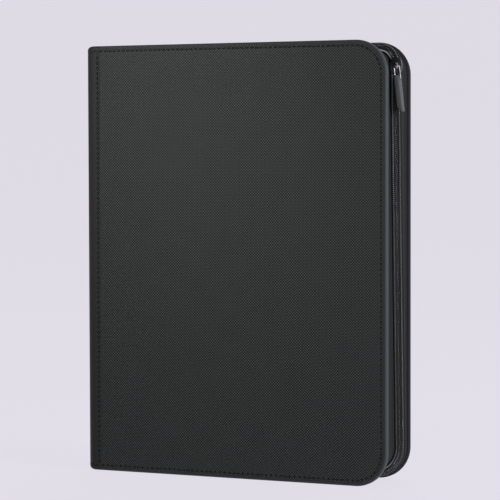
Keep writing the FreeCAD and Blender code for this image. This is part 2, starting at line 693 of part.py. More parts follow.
def slider_bridge():
    """Bridge on the face plate, with the eye that holds the pull."""
    body = new_body("slider_bridge")
    outer_face = eye_reach + SIZE["bridge_rise"] / 2
    outline = new_sketch(body, "XZ_Plane", "bridge_outline")
    bind(outline, "AttachmentOffset.Base.x", f"{FACE_PLATE} + plate_depth + bridge_rise / 2")
    rectangle(outline, "bridge_rise", "bridge_length")
    block = pad(body, outline, "bridge_block", "bridge_width")
    block.Midplane = True

    def outer_corner(edge):
        ends = [vertex.Point for vertex in edge.Vertexes]
        across = abs(ends[0].x - ends[1].x) < TOUCHING and abs(ends[0].z - ends[1].z) < TOUCHING
        return across and abs(ends[0].x - outer_face) < TOUCHING

    shaped = round_edges(body, block, "bridge_corners", "eye_radius", outer_corner)
    eye = new_sketch(body, "XZ_Plane", "eye_outline")
    bind(eye, "AttachmentOffset.Base.x", f"{FACE_PLATE} + plate_depth + bridge_rise / 2")
    eye.addGeometry(Part.Circle(FreeCAD.Vector(), Z_AXIS, SIZE["eye_radius"]))
    eye.addConstraint(Sketcher.Constraint("Coincident", 0, 3, -1, 1))
    measure(eye, "Radius", (0,), "eye", "eye_radius")
    bore = body.newObject("PartDesign::Pocket", "bridge_eye")
    bore.Profile = eye
    bore.Midplane = True
    bind(bore, "Length", "2 * bridge_width")
    doc.recompute()
    if not bore.Shape.Volume < shaped.Shape.Volume - LEAST_CUT:
        raise ValueError("slider_bridge: its eye cut nothing")
    body.Placement = slider_place


slider_body()
slider_bridge()


# ---------------------------------------------------------------------------
# Pull: a wire staple through the eye, moulded into a soft tab
# Its own axes: X out of the chain's face, Y across the chain, Z up, from the eye
# ---------------------------------------------------------------------------
pull_lean = FreeCAD.Rotation(X_AXIS, SIZE["pull_lean"])
pull_place = slider_place.multiply(FreeCAD.Placement(FreeCAD.Vector(eye_reach, 0, 0), pull_lean))


def pull_wire():
    """Staple of wire: a bar through the eye, two bends and two legs."""
    body = new_body("pull_wire")
    path = new_sketch(body, "YZ_Plane", "wire_path")
    half, low, r = DRAWN_ACROSS, -DRAWN_UP, DRAWN_RADIUS
    left = Part.Circle(FreeCAD.Vector(r - half, -r, 0), Z_AXIS, r)
    right = Part.Circle(FreeCAD.Vector(half - r, -r, 0), Z_AXIS, r)
    for edge in (
        Part.LineSegment(FreeCAD.Vector(-half, low, 0), FreeCAD.Vector(-half, -r, 0)),
        Part.ArcOfCircle(left, QUARTER_TURN, 2 * QUARTER_TURN),
        Part.LineSegment(FreeCAD.Vector(r - half, 0, 0), FreeCAD.Vector(half - r, 0, 0)),
        Part.ArcOfCircle(right, 0, QUARTER_TURN),
        Part.LineSegment(FreeCAD.Vector(half, -r, 0), FreeCAD.Vector(half, low, 0)),
    ):
        path.addGeometry(edge)
    for places in ((0, 2, 1, 2), (1, 1, 2, 1), (2, 2, 3, 2), (3, 1, 4, 1)):
        path.addConstraint(Sketcher.Constraint("Tangent", *places))
    path.addConstraint(Sketcher.Constraint("Vertical", 0))
    path.addConstraint(Sketcher.Constraint("Vertical", 4))
    path.addConstraint(Sketcher.Constraint("PointOnObject", 2, 1, -1))
    path.addConstraint(Sketcher.Constraint("Equal", 1, 3))
    path.addConstraint(Sketcher.Constraint("Equal", 0, 4))
    path.addConstraint(Sketcher.Constraint("Symmetric", 0, 1, 4, 2, -2))
    measure(path, "Radius", (1,), "bend", "wire_bend")
    measure(path, "DistanceX", (0, 1, 4, 2), "spacing", "wire_spacing")
    measure(path, "DistanceY", (0, 1, -1, 1), "length", "wire_length")
    section = new_sketch(body, "XY_Plane", "wire_section")
    bind(section, "AttachmentOffset.Base.y", "-wire_spacing / 2")
    bind(section, "AttachmentOffset.Base.z", "-wire_length")
    section.addGeometry(Part.Circle(FreeCAD.Vector(), Z_AXIS, SIZE["wire_radius"]))
    section.addConstraint(Sketcher.Constraint("Coincident", 0, 3, -1, 1))
    measure(section, "Radius", (0,), "wire", "wire_radius")
    sweep = body.newObject("PartDesign::AdditivePipe", "wire_sweep")
    sweep.Profile = section
    sweep.Spine = path
    body.Placement = pull_place


def pull_tab():
    """Soft tab with its four corners cut."""
    body = new_body("pull_tab")
    outline = new_sketch(body, "YZ_Plane", "tab_outline")
    bind(outline, "AttachmentOffset.Base.y", "-tab_drop - tab_length / 2")
    rectangle(outline, "tab_width", "tab_length")
    block = pad(body, outline, "tab_pad", "tab_depth")
    block.Midplane = True
    doc.recompute()
    cut = body.newObject("PartDesign::Chamfer", "tab_corners")
    cut.Base = (block, edges_where(block.Shape, upright_edge))
    bind(cut, "Size", "tab_taper")
    body.Placement = pull_place


pull_wire()
pull_tab()


# ---------------------------------------------------------------------------
# Leaves: each hangs on its own hinge line along the binding strip
# ---------------------------------------------------------------------------
def leaf(number):
    """One leaf, its inner edge on its hinge line. Leaf 1 is next to the front cover."""
    steps_in = min(number - 1, LEAF_COUNT - number)
    place_in_row = number - (LEAF_COUNT + 1) / 2
    position = (
        f"leaf_root + {steps_in} * leaf_step + leaf_width / 2 - width / 2",
        f"{place_in_row} * leaf_pitch - leaf_depth / 2",
        "height / 2",
    )
    flat_layer(f"leaf_{number:02d}", "leaf_width", "leaf_height", None, "leaf_depth", position, NO_TURN)


for leaf_number in range(1, LEAF_COUNT + 1):
    leaf(leaf_number)


# ---------------------------------------------------------------------------
# Check and export
# ---------------------------------------------------------------------------
doc.recompute()
for item in doc.Objects:
    if "Invalid" in item.State or "Error" in item.State:
        raise ValueError(f"{item.Label} failed: {item.State}")
os.makedirs("parts", exist_ok=True)
for subpart in subparts:
    shape = subpart.Shape
    if shape.isNull() or not shape.isValid() or not shape.Solids:
        raise ValueError(f"{subpart.Label} has no valid solid")
    shape.exportStep(f"parts/{subpart.Label}.step")
print(f"{len(subparts)} sub-parts written")
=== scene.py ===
import json
from math import atan2, copysign, cos, exp, hypot, pi, radians, sin, sqrt

import bmesh
import bpy
import numpy as np
from mathutils import Matrix, Vector


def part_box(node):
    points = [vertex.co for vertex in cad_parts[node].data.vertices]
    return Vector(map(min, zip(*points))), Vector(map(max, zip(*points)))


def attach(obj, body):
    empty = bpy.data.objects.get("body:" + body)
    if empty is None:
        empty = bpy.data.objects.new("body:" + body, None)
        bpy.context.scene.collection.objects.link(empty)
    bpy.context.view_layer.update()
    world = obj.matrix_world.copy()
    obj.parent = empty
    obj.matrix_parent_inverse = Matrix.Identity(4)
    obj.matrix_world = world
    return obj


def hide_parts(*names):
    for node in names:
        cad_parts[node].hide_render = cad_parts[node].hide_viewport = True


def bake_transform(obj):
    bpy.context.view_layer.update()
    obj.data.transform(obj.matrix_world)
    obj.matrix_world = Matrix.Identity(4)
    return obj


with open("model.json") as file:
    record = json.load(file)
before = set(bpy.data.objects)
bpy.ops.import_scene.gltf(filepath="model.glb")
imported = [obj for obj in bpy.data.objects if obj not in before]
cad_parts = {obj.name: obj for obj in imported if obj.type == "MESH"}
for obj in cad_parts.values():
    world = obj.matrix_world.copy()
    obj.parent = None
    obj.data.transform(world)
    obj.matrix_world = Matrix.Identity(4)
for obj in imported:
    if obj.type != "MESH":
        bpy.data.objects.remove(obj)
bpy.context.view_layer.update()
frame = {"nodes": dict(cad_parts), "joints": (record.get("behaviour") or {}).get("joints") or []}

# A zip-up trading card binder. Metres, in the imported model's frame: +X from the spine
# to the fore-edge, -Y out of the front cover, +Z up.

MM = 0.001

# --- Sizes read from the frame ---
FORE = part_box("front_cover_skin")[1].x
FACE = -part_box("front_cover_skin")[0].y
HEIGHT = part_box("front_cover_skin")[1].z
SPINE = -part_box("spine_skin")[0].x
SPINE_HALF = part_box("spine_skin")[1].y
SPINE_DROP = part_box("spine_skin")[0].z
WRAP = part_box("front_hinge_strip")[1].x + SPINE
INNER = -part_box("front_cover_lining")[1].y
COVER_DEPTH = FACE - INNER
SLIDE_AXIS = Vector(next(j for j in frame["joints"] if j["name"] == "slider_travel")["axis"])
PULL_JOINT = next(j for j in frame["joints"] if j["name"] == "pull_swing")
LEAVES = sorted(n for n in frame["nodes"] if n.startswith("leaf_"))

# Sizes of what the frame's solids leave plain
FORE_RADIUS = 26.5 * MM
SKIN = 1.0 * MM
ROLL = 1.8 * MM
SEAM = 4.5 * MM
STITCH_PITCH = 4.1 * MM
STEPS_A_STITCH = 4
# The black stitch is larger than the thread alone to cover the shade of its needle holes: partly real
# thread, partly painted shade.
STITCH = (2.9 * MM, 1.5 * MM, 0.6 * MM)     # length, width and height
STITCH_TWIST = 0.12
STITCH_SUNK = 0.1 * MM
SEAM_DIP = 0.14 * MM
SEAM_DIP_REACH = 0.7 * MM
NEEDLE_DIP = 0.40 * MM
NEEDLE_DIP_REACH = 0.6 * MM
CROWN = 0.5 * MM
CROWN_REACH = 14 * MM
TURN_IN = COVER_DEPTH - 0.6 * MM
LINING = 0.58 * MM
EMBOSS_PITCH = 1.6 * MM
STRIP_EDGE = -119.2 * MM
HINGE_SEAM = -120.7 * MM

# Leaves: film, pockets and the welds between them
LEAF_WIDE = 228 * MM
LEAF_TALL = 298 * MM
LEAF_MARGIN = 14 * MM
LEAF_FOOT = 4 * MM
POCKET_WIDE = 68 * MM
POCKET_TALL = 94 * MM
WELD = 3 * MM

# The zip's chain, in a plane that leans with the slider's axis
CHAIN_FACE_TURN = radians(60)
CHAIN_FAR = FORE - 4.5 * MM
CHAIN_HIGH = HEIGHT / 2 - 4.7 * MM
CHAIN_TOP_RADIUS = 13 * MM
CHAIN_LOW_RADIUS = 22 * MM
CHAIN_START = -115 * MM
CHAIN_SHIFT = 8.9 * MM
CHAIN_LEAN = atan2(SLIDE_AXIS.y, -SLIDE_AXIS.z)
COIL_PITCH = 1.6 * MM
COIL_WIRE = 0.36 * MM
TAPE_LEVEL = -1.65 * MM
GUSSET_START = -SPINE + WRAP + 0.5 * MM
GUSSET_INSET = 2.55 * MM
GUSSET_EDGE = 4.6 * MM


# --- Mesh helpers ---
def add_piece(name, points, faces, uv=None, smooth=True, edge=None):
    """A mesh object from points and faces, its flat pattern in metres in a UV map.

    edge is each point's distance in from the rim, kept in a second map."""
    mesh = bpy.data.meshes.new(name)
    mesh.from_pydata([tuple(p) for p in points], [], [tuple(f) for f in faces])
    build = bmesh.new()
    build.from_mesh(mesh)
    bmesh.ops.recalc_face_normals(build, faces=build.faces)
    build.to_mesh(mesh)
    build.free()
    rim = None if edge is None else [(distance, 0) for distance in edge]
    for layer_name, values in (("flat", uv), ("rim", rim)):
        if layer_name == "flat" or values is not None:
            layer = mesh.uv_layers.new(name=layer_name)
        if values is not None:
            for loop in mesh.loops:
                layer.data[loop.index].uv = values[loop.vertex_index]
    mesh.polygons.foreach_set("use_smooth", [smooth] * len(mesh.polygons))
    piece = bpy.data.objects.new(name, mesh)
    bpy.context.scene.collection.objects.link(piece)
    return piece


def lattice(rows, columns, wrap_rows=False, wrap_columns=False, first=0):
    """Quads of a grid of points stored row by row."""
    faces = []
    for r in range(rows if wrap_rows else rows - 1):
        below = (r + 1) % rows
        for c in range(columns if wrap_columns else columns - 1):
            beside = (c + 1) % columns
            corners = (r * columns + c, r * columns + beside)
            faces.append([first + i for i in (*corners, below * columns + beside, below * columns + c)])
    return faces


def closed_bar(rings, sides):
    """Faces of rings of points joined into a bar with closed ends."""
    faces = lattice(rings, sides, wrap_columns=True)
    faces.append(list(range(sides))[::-1])
    faces.append([(rings - 1) * sides + i for i in range(sides)])
    return faces


def two_layers(rows, columns):
    """Faces of two grids of points joined round their rims."""
    count = rows * columns
    faces = lattice(rows, columns)
    faces += [face[::-1] for face in lattice(rows, columns, first=count)]
    rim = list(range(columns))
    rim += [r * columns + columns - 1 for r in range(1, rows)]
    rim += [(rows - 1) * columns + c for c in range(columns - 2, -1, -1)]
    rim += [r * columns for r in range(rows - 2, 0, -1)]
    for a, b in zip(rim, rim[1:] + rim[:1]):
        faces.append((a, b, b + count, a + count))
    return faces


def grid_normals(grid):
    """Unit normals of a grid of points, rows by columns by 3."""
    along = np.gradient(grid, axis=0)
    across = np.gradient(grid, axis=1)
    normals = np.cross(along, across)
    lengths = np.linalg.norm(normals, axis=2, keepdims=True)
    return normals / np.maximum(lengths, 1e-12)


def flat_pattern(grid):
    """Each point's place on the flat cloth: metres along the rows and across them."""
    along = np.linalg.norm(np.diff(grid, axis=0), axis=2).mean(axis=1)
    across = np.linalg.norm(np.diff(grid, axis=1), axis=2).mean(axis=0)
    v = np.concatenate([[0], np.cumsum(along)])
    u = np.concatenate([[0], np.cumsum(across)])
    pattern = np.zeros(grid.shape[:2] + (2,))
    pattern[..., 0] = u[None, :]
    pattern[..., 1] = v[:, None]
    return pattern


def thin_sheet(name, grid, thickness):
    """A closed sheet of cloth about a grid of points. Also returns its area."""
    rows, columns = grid.shape[:2]
    shift = grid_normals(grid) * thickness / 2
    pattern = flat_pattern(grid).reshape(-1, 2)
    points = np.concatenate([(grid + shift).reshape(-1, 3), (grid - shift).reshape(-1, 3)])
    piece = add_piece(name, points, two_layers(rows, columns), np.concatenate([pattern, pattern]))
    width, length = pattern[:, 0].max(), pattern[:, 1].max()
    return piece, width * length, (width, length)


def tube(line, radius, sides):
    """Points and faces of a round tube along a line of points."""
    line = np.asarray(line, float)
    ahead = np.gradient(line, axis=0)
    ahead /= np.linalg.norm(ahead, axis=1, keepdims=True)
    side = np.cross(ahead[0], [0.3, 0.2, 0.93])
    rings = []
    for point, way in zip(line, ahead):
        side = side - way * (side @ way)
        side /= np.linalg.norm(side)
        other = np.cross(way, side)
        angles = np.arange(sides) * 2 * pi / sides
        round_it = np.outer(np.cos(angles), side) + np.outer(np.sin(angles), other)
        rings.append(point + radius * round_it)
    return np.concatenate(rings), closed_bar(len(line), sides)


def capsule(length, width, height, rings=5, sides=8):
    """A stitch lying along X with its flat side down, its ends dipping."""
    points = []
    for r in range(rings):
        t = -1 + 2 * (r + 0.5) / rings
        swell = sqrt(max(0.0, 1 - abs(t) ** 3))
        dip = -0.55 * height * abs(t) ** 3
        for s in range(sides):
            a = 2 * pi * s / sides
            side, up = 0.5 * width * swell * cos(a), 0.5 * height * swell * sin(a)
            points.append((t * length / 2, side, dip + up))
    return np.array(points), closed_bar(rings, sides)


def scatter(name, template, places, along, across, outwards, twist=0.0):
    """One mesh of many copies of a small template, each on its own axes."""
    points, faces = template
    c, s = cos(twist), sin(twist)
    points = points @ np.array([[c, s, 0], [-s, c, 0], [0, 0, 1]])
    all_points = []
    all_faces = []
    for place, a, b, n in zip(places, along, across, outwards):
        base = len(all_points) * len(points)
        all_points.append(place + sum(np.outer(points[:, i], axis) for i, axis in enumerate((a, b, n))))
        all_faces += [[base + i for i in face] for face in faces]
    return add_piece(name, np.concatenate(all_points), all_faces)


def finish_with(piece, material):
    piece.data.materials.clear()
    piece.data.materials.append(material)


def settle(piece, material, body=None, node=None):
    """Give a piece its material, and where given its body and the node it replaces."""
    if body:
        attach(piece, body)
    if node:
        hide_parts(node)
    finish_with(piece, material)


def run_along(line):
    """The distance from a line's first point to each of its points."""
    return np.concatenate([[0], np.cumsum(np.linalg.norm(np.diff(line, axis=0), axis=1))])


def at_depth(line, y):
    """Points (x, y, z) from a line's (x, z) and one y, or one for each point."""
    return np.stack([line[:, 0], np.broadcast_to(y, len(line)), line[:, 1]], axis=1)


def curve(first, corner, last, spans):
    """Points from first to last, drawn towards a corner."""
    found = []
    for k in range(spans + 1):
        t = k / spans
        found.append((1 - t) ** 2 * first + 2 * t * (1 - t) * corner + t ** 2 * last)
    return found


def rounding(radius, spans):
    """A quarter round between two faces: each point's distance in from one and from the other."""
    angles = [pi / 2 * k / spans for k in range(spans + 1)]
    return [(radius * (1 - sin(a)), radius * (1 - cos(a))) for a in angles]


def resample(line, pitch, extra=()):
    """Evenly spaced points along a line, pitch apart, and extra arrays read at the same places."""
    run = run_along(line)
    count = int(run[-1] / pitch)
    at = (np.arange(count) + 0.5) * run[-1] / count

    def read(array):
        return np.stack([np.interp(at, run, column) for column in array.T], axis=1)

    return [read(array) for array in (line, *extra)]


def unit(vectors):
    return vectors / np.linalg.norm(vectors, axis=1, keepdims=True)


# --- Lines along the three free sides ---
def side_counts(start, step):
    """How many spans each of the five stretches gets at about one step each."""
    top = FORE - FORE_RADIUS - start
    side = HEIGHT - 2 * FORE_RADIUS
    arc = FORE_RADIUS * pi / 2
    return [max(2, round(length / step)) for length in (top, arc, side, arc, top)]


def three_sides(start, far, top, bottom, top_radius, bottom_radius, counts):
    """Along the top, round the corner, down the fore-edge and back along the bottom.

    Returns the points (x, z) and the outward normals."""
    points = []
    normals = []

    def line(a, b, normal, count):
        for k in range(count):
            t = k / count
            points.append((a[0] + (b[0] - a[0]) * t, a[1] + (b[1] - a[1]) * t))
            normals.append(normal)

    def arc(centre, radius, first, last, count):
        for k in range(count):
            angle = first + (last - first) * k / count
            way = (cos(angle), sin(angle))
            points.append((centre[0] + radius * way[0], centre[1] + radius * way[1]))
            normals.append(way)

    quarter = pi / 2
    line((start, top), (far - top_radius, top), (0, 1), counts[0])
    arc((far - top_radius, top - top_radius), top_radius, quarter, 0, counts[1])
    line((far, top - top_radius), (far, bottom + bottom_radius), (1, 0), counts[2])
    arc((far - bottom_radius, bottom + bottom_radius), bottom_radius, 0, -quarter, counts[3])
    line((far - bottom_radius, bottom), (start, bottom), (0, -1), counts[4])
    points.append((start, bottom))
    normals.append((0, -1))
    return np.array(points), np.array(normals)


def inset_sides(start, inset, counts):
    """The covers' outline moved inwards."""
    radius = max(FORE_RADIUS - inset, 0.4 * MM)
    return three_sides(start, FORE - inset, HEIGHT - inset, inset, radius, radius, counts)


# --- Covers ---
def seam_dip(distance):
    """How far the skin is pulled in beside a seam, by the distance from it."""
    return SEAM_DIP * exp(-((distance / SEAM_DIP_REACH) ** 2))


def needle_dip(distance, run):
    """Extra dip at each needle hole, by the distance from the seam and the run along it."""
    hole = (0.5 + 0.5 * np.cos(2 * pi * run / STITCH_PITCH)) ** 2
    return NEEDLE_DIP * exp(-((distance / NEEDLE_DIP_REACH) ** 2)) * hole


def crown(inset):
    """How far the padding lifts the skin, by the distance from the edge."""
    return CROWN * (1 - exp(-max(inset - 1.2 * SEAM, 0) / CROWN_REACH))


def skin_profile():
    """Outer side from the middle to the rim, then the inner side: inset and depth."""
    faces = [60, 42, 30, 22, 16, 12, 9.5, 8, 7, 6.2, 5.6, 5.2, 4.85, 4.5, 4.15, 3.8, 3.4, 2.9, 2.3]
    outer = [(inset * MM, seam_dip(inset * MM - SEAM)) for inset in faces]
    outer += rounding(ROLL, 6) + [(0, 0.6 * TURN_IN), (0, TURN_IN - 0.2 * MM), (0.15 * MM, TURN_IN)]
    outer.append((SKIN - 0.1 * MM, TURN_IN))
    bevel = SKIN + 0.2 * MM
    inner = [(SKIN, TURN_IN - 0.1 * MM), (SKIN, bevel), (bevel, SKIN), (60 * MM, SKIN)]
    return outer, inner


def ringed_panel(name, sign, start, rings, counts):
    """A panel from lines round its three free sides: inset, depth and lift of each."""
    points = []
    pattern = []
    edge = []
    for inset, depths in rings:
        line, normals = inset_sides(start, inset, counts)
        edge += [inset] * len(line)
        depths = np.broadcast_to(depths, len(line))
        points.append(at_depth(line, sign * (FACE - depths)))
        pattern.append(line + normals * np.maximum(depths, 0)[:, None])
    columns = len(points[0])
    faces = lattice(len(rings), columns)
    faces.append(list(range(columns)))
    last = (len(rings) - 1) * columns
    faces.append([last + c for c in range(columns)][::-1])
    start_end = [r * columns for r in range(len(rings))]
    far_end = [r * columns + columns - 1 for r in range(len(rings))]
    faces.append(start_end + far_end[::-1])
    return add_piece(name, np.concatenate(points), faces, np.concatenate(pattern), edge=edge)


def cover_skin(side, sign):
    """Embossed skin over a padded cover, pulled in along the seam."""
    counts = side_counts(STRIP_EDGE, STITCH_PITCH / STEPS_A_STITCH)
    seam_line, _ = inset_sides(STRIP_EDGE, SEAM, counts)
    run = run_along(seam_line)
    outer, inner = skin_profile()
    rings = []
    for inset, depth in outer:
        line, _ = inset_sides(STRIP_EDGE, inset, counts)
        lift = crown(inset) * np.clip((line[:, 0] - STRIP_EDGE) / (30 * MM), 0, 1) ** 0.5
        dip = needle_dip(inset - SEAM, run) if abs(inset - SEAM) < 2 * MM else 0
        rings.append((inset, depth + dip - lift))
    rings += inner
    piece = ringed_panel(f"{side}_skin", sign, STRIP_EDGE, rings, counts)
    settle(piece, SKIN_MATERIALS[side], f"{side}_cover", f"{side}_cover_skin")


def cover_lining(side, sign):
    """Lining cloth glued to the inner face."""
    counts = side_counts(STRIP_EDGE, 6 * MM)
    start = -SPINE + WRAP + 0.3 * MM
    edge = 0.5 * MM
    rings = [(40 * MM, COVER_DEPTH), (edge + 0.3 * MM, COVER_DEPTH), (edge, COVER_DEPTH - 0.2 * MM)]
    rings += [(edge, COVER_DEPTH - LINING), (40 * MM, COVER_DEPTH - LINING)]
    piece = ringed_panel(f"{side}_lining", sign, start, rings, counts)
    settle(piece, LINING_MATERIAL, f"{side}_cover", f"{side}_cover_lining")


def edge_stitches(side, sign):
    """Stitches round a cover's three free sides, each in its own dimples."""
    counts = side_counts(STRIP_EDGE, 1 * MM)
    line, normals = inset_sides(STRIP_EDGE, SEAM, counts)
    line, normals = resample(line, STITCH_PITCH, (normals,))
    places = at_depth(line, sign * (FACE - STITCH_SUNK))
    across = unit(at_depth(normals, 0.0))
    outwards = np.tile([0.0, sign, 0.0], (len(line), 1))
    along = np.cross(across, outwards)
    piece = scatter(
        f"{side}_edge_stitches", capsule(*STITCH), places, along, across, outwards, twist=STITCH_TWIST
    )
    settle(piece, THREAD_MATERIAL, f"{side}_cover", f"{side}_edge_stitching")


# --- Spine and the two strips that wrap round its edges ---
def plan_of_strip(sign):
    """A strip seen from above: points (x, y), outward normals and how far each is lowered."""
    centre = (-SPINE + WRAP, sign * (FACE - WRAP))
    points = []
    normals = []
    drops = []
    by_seam = [HINGE_SEAM + offset * MM for offset in (0.6, 0.3, 0, -0.3, -0.6, -1.1, -2.0)]
    for x in (STRIP_EDGE, STRIP_EDGE - 0.5 * MM, *by_seam):
        points.append((x, sign * FACE))
        normals.append((0, sign))
        drops.append(0)
    spans = 16
    for k in range(spans + 1):
        angle = pi / 2 * k / spans
        way = (-sin(angle), sign * cos(angle))
        points.append((centre[0] + WRAP * way[0], centre[1] + WRAP * way[1]))
        normals.append(way)
        drops.append(SPINE_DROP * (k / spans) ** 2)
    points.append((-SPINE, sign * SPINE_HALF))
    normals.append((-1, 0))
    drops.append(SPINE_DROP)
    return np.array(points), np.array(normals), np.array(drops)


def strip_heights():
    """A strip's section from bottom to top: height and depth, outer side then inner side."""
    end = [(SKIN - 0.1 * MM, TURN_IN), (0.15 * MM, TURN_IN), (0, TURN_IN - 0.2 * MM)]
    end += [(0, 0.6 * TURN_IN)] + rounding(ROLL, 6)[::-1]
    for z in (2.3, 2.9, 3.4, 3.8, 4.15, 4.5, 4.85, 5.2, 5.6, 6.2):
        end.append((z * MM, seam_dip(z * MM - SEAM)))
    count = round((HEIGHT - 14 * MM) / STITCH_PITCH * STEPS_A_STITCH)
    middle = [(7 * MM + (HEIGHT - 14 * MM) * k / count, 0.0) for k in range(count + 1)]
    outer = end + middle + [(HEIGHT - z, depth) for z, depth in reversed(end)]
    inner = [(SKIN, TURN_IN - 0.1 * MM), (SKIN, SKIN)]
    inner = [(HEIGHT - z, depth) for z, depth in inner] + inner[::-1]
    return outer, inner


def lowered(z, drop):
    """A height squeezed towards the middle, so that both ends stop short by the drop."""
    return HEIGHT / 2 + (z - HEIGHT / 2) * (1 - 2 * drop / HEIGHT)


def swept_strip(name, plan, normals, drops, lifts):
    """Skin swept along a plan line. Rows go up the strip, columns go along the plan."""
    outer, inner = strip_heights()
    run = run_along(plan)
    points = []
    pattern = []
    for row, (z, depth) in enumerate(outer + inner):
        on_face = row < len(outer) and depth < 0.5 * MM
        for p, n, drop, lift, u in zip(plan, normals, drops, lifts, run):
            shift = lift(z) if on_face else 0.0
            level = lowered(z, drop)
            inwards = depth + shift
            points.append((p[0] - n[0] * inwards, p[1] - n[1] * inwards, level))
            pattern.append((u, level))
    rows, columns = len(outer) + len(inner), len(plan)
    faces = lattice(rows, columns, wrap_rows=True)
    faces.append([r * columns for r in range(rows)])
    faces.append([r * columns + columns - 1 for r in range(rows)][::-1])
    return add_piece(name, points, faces, np.array(pattern))


def bend(piece, side):
    if side == "front":
        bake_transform(piece)
    else:
        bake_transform(piece)


def hinge_strip(side, sign):
    """Strip of skin sewn on the cover's edge and wrapped round to the spine."""
    plan, normals, drops = plan_of_strip(sign)

    def lift_at(x, on_cover):
        def lift(z):
            proud = -0.05 * MM if on_cover and x < STRIP_EDGE else 0.0
            inside = SEAM < z < HEIGHT - SEAM
            distance = x - HINGE_SEAM
            dip = seam_dip(distance) + needle_dip(distance, z) if on_cover and inside else 0.0
            return proud + dip
        return lift

    lifts = [lift_at(p[0], n[0] == 0) for p, n in zip(plan, normals)]
    piece = swept_strip(f"{side}_wrap", plan, normals, drops, lifts)
    bend(piece, side)
    settle(piece, WRAP_MATERIAL, node=f"{side}_hinge_strip")


def hinge_stitches(side, sign):
    """The upright seam on the strip, and the ends of the edge seam that cross it."""
    low = SEAM + 1.2 * MM
    count = int((HEIGHT - 2 * low) / STITCH_PITCH)
    levels = (np.arange(count) + 0.5) * STITCH_PITCH + low
    places = [(HINGE_SEAM, sign * FACE, z) for z in levels]
    along = [(0.0, 0.0, 1.0)] * count
    across = [(1.0, 0.0, 0.0)] * count
    outwards = [(0.0, float(sign), 0.0)] * count
    plan, normals, drops = plan_of_strip(sign)
    drops = drops[:, None]
    line, normals, drops = resample(plan[4:], STITCH_PITCH, (normals[4:], drops[4:]))
    for end in (SEAM, HEIGHT - SEAM):
        for p, n, drop in zip(line, unit(normals), drops[:, 0]):
            level = lowered(end, drop)
            places.append((p[0] - n[0] * STITCH_SUNK, p[1] - n[1] * STITCH_SUNK, level))
            along.append((-n[1], n[0], 0.0))
            across.append((0.0, 0.0, 1.0))
            outwards.append((n[0], n[1], 0.0))
    arrays = [np.array(x) for x in (places, along, across, outwards)]
    piece = scatter(f"{side}_hinge_stitches", capsule(*STITCH), *arrays, twist=STITCH_TWIST)
    bend(piece, side)
    settle(piece, THREAD_MATERIAL, node=f"{side}_hinge_stitching")


def spine_skin():
    """The spine's own panel, slightly crowned by its padding."""
    spans = 10
    ys = [-SPINE_HALF + 2 * SPINE_HALF * k / spans for k in range(spans + 1)]
    plan = np.array([(-SPINE, y) for y in ys])
    normals = np.array([(-1.0, 0.0)] * len(ys))
    drops = np.full(len(ys), SPINE_DROP)

    def lift_at(y):
        swell = 0.6 * MM * (1 - (y / SPINE_HALF) ** 2)
        return lambda z: -swell

    piece = swept_strip("spine_cover", plan, normals, drops, [lift_at(y) for y in ys])
    settle(piece, WRAP_MATERIAL, "spine", "spine_skin")


def inner_hinge(side, sign):
    """Lining cloth tucked into the fold between the spine and a cover."""
    low = SPINE_DROP + 1.0 * MM
    first = np.array((-SPINE + COVER_DEPTH - 0.3 * MM, sign * (SPINE_HALF - 1.5 * MM)))
    corner = np.array((-SPINE + 3.9 * MM, sign * (FACE - 3.9 * MM)))
    last = np.array((-SPINE + WRAP + 2.5 * MM, sign * (INNER + 0.3 * MM)))
    line = curve(first, corner, last, 16)
    levels = np.linspace(low, HEIGHT - low, 60)
    grid = np.array([[(x, y, z) for x, y in line] for z in levels])
    piece, area, flat = thin_sheet(f"{side}_inner_hinge", grid, 0.5 * MM)
    bend(piece, side)
    settle(piece, LINING_MATERIAL)


def spine_lining():
    """Lining cloth on the spine, behind the binding strip."""
    x = -SPINE + COVER_DEPTH - 0.3 * MM
    ys = np.linspace(-SPINE_HALF, SPINE_HALF, 9)
    low = SPINE_DROP + 0.6 * MM
    grid = np.array([[(x, y, z) for y in ys] for z in np.linspace(low, HEIGHT - low, 40)])
    piece, area, flat = thin_sheet("spine_inner_lining", grid, 0.56 * MM)
    settle(piece, LINING_MATERIAL, "spine", "spine_lining")


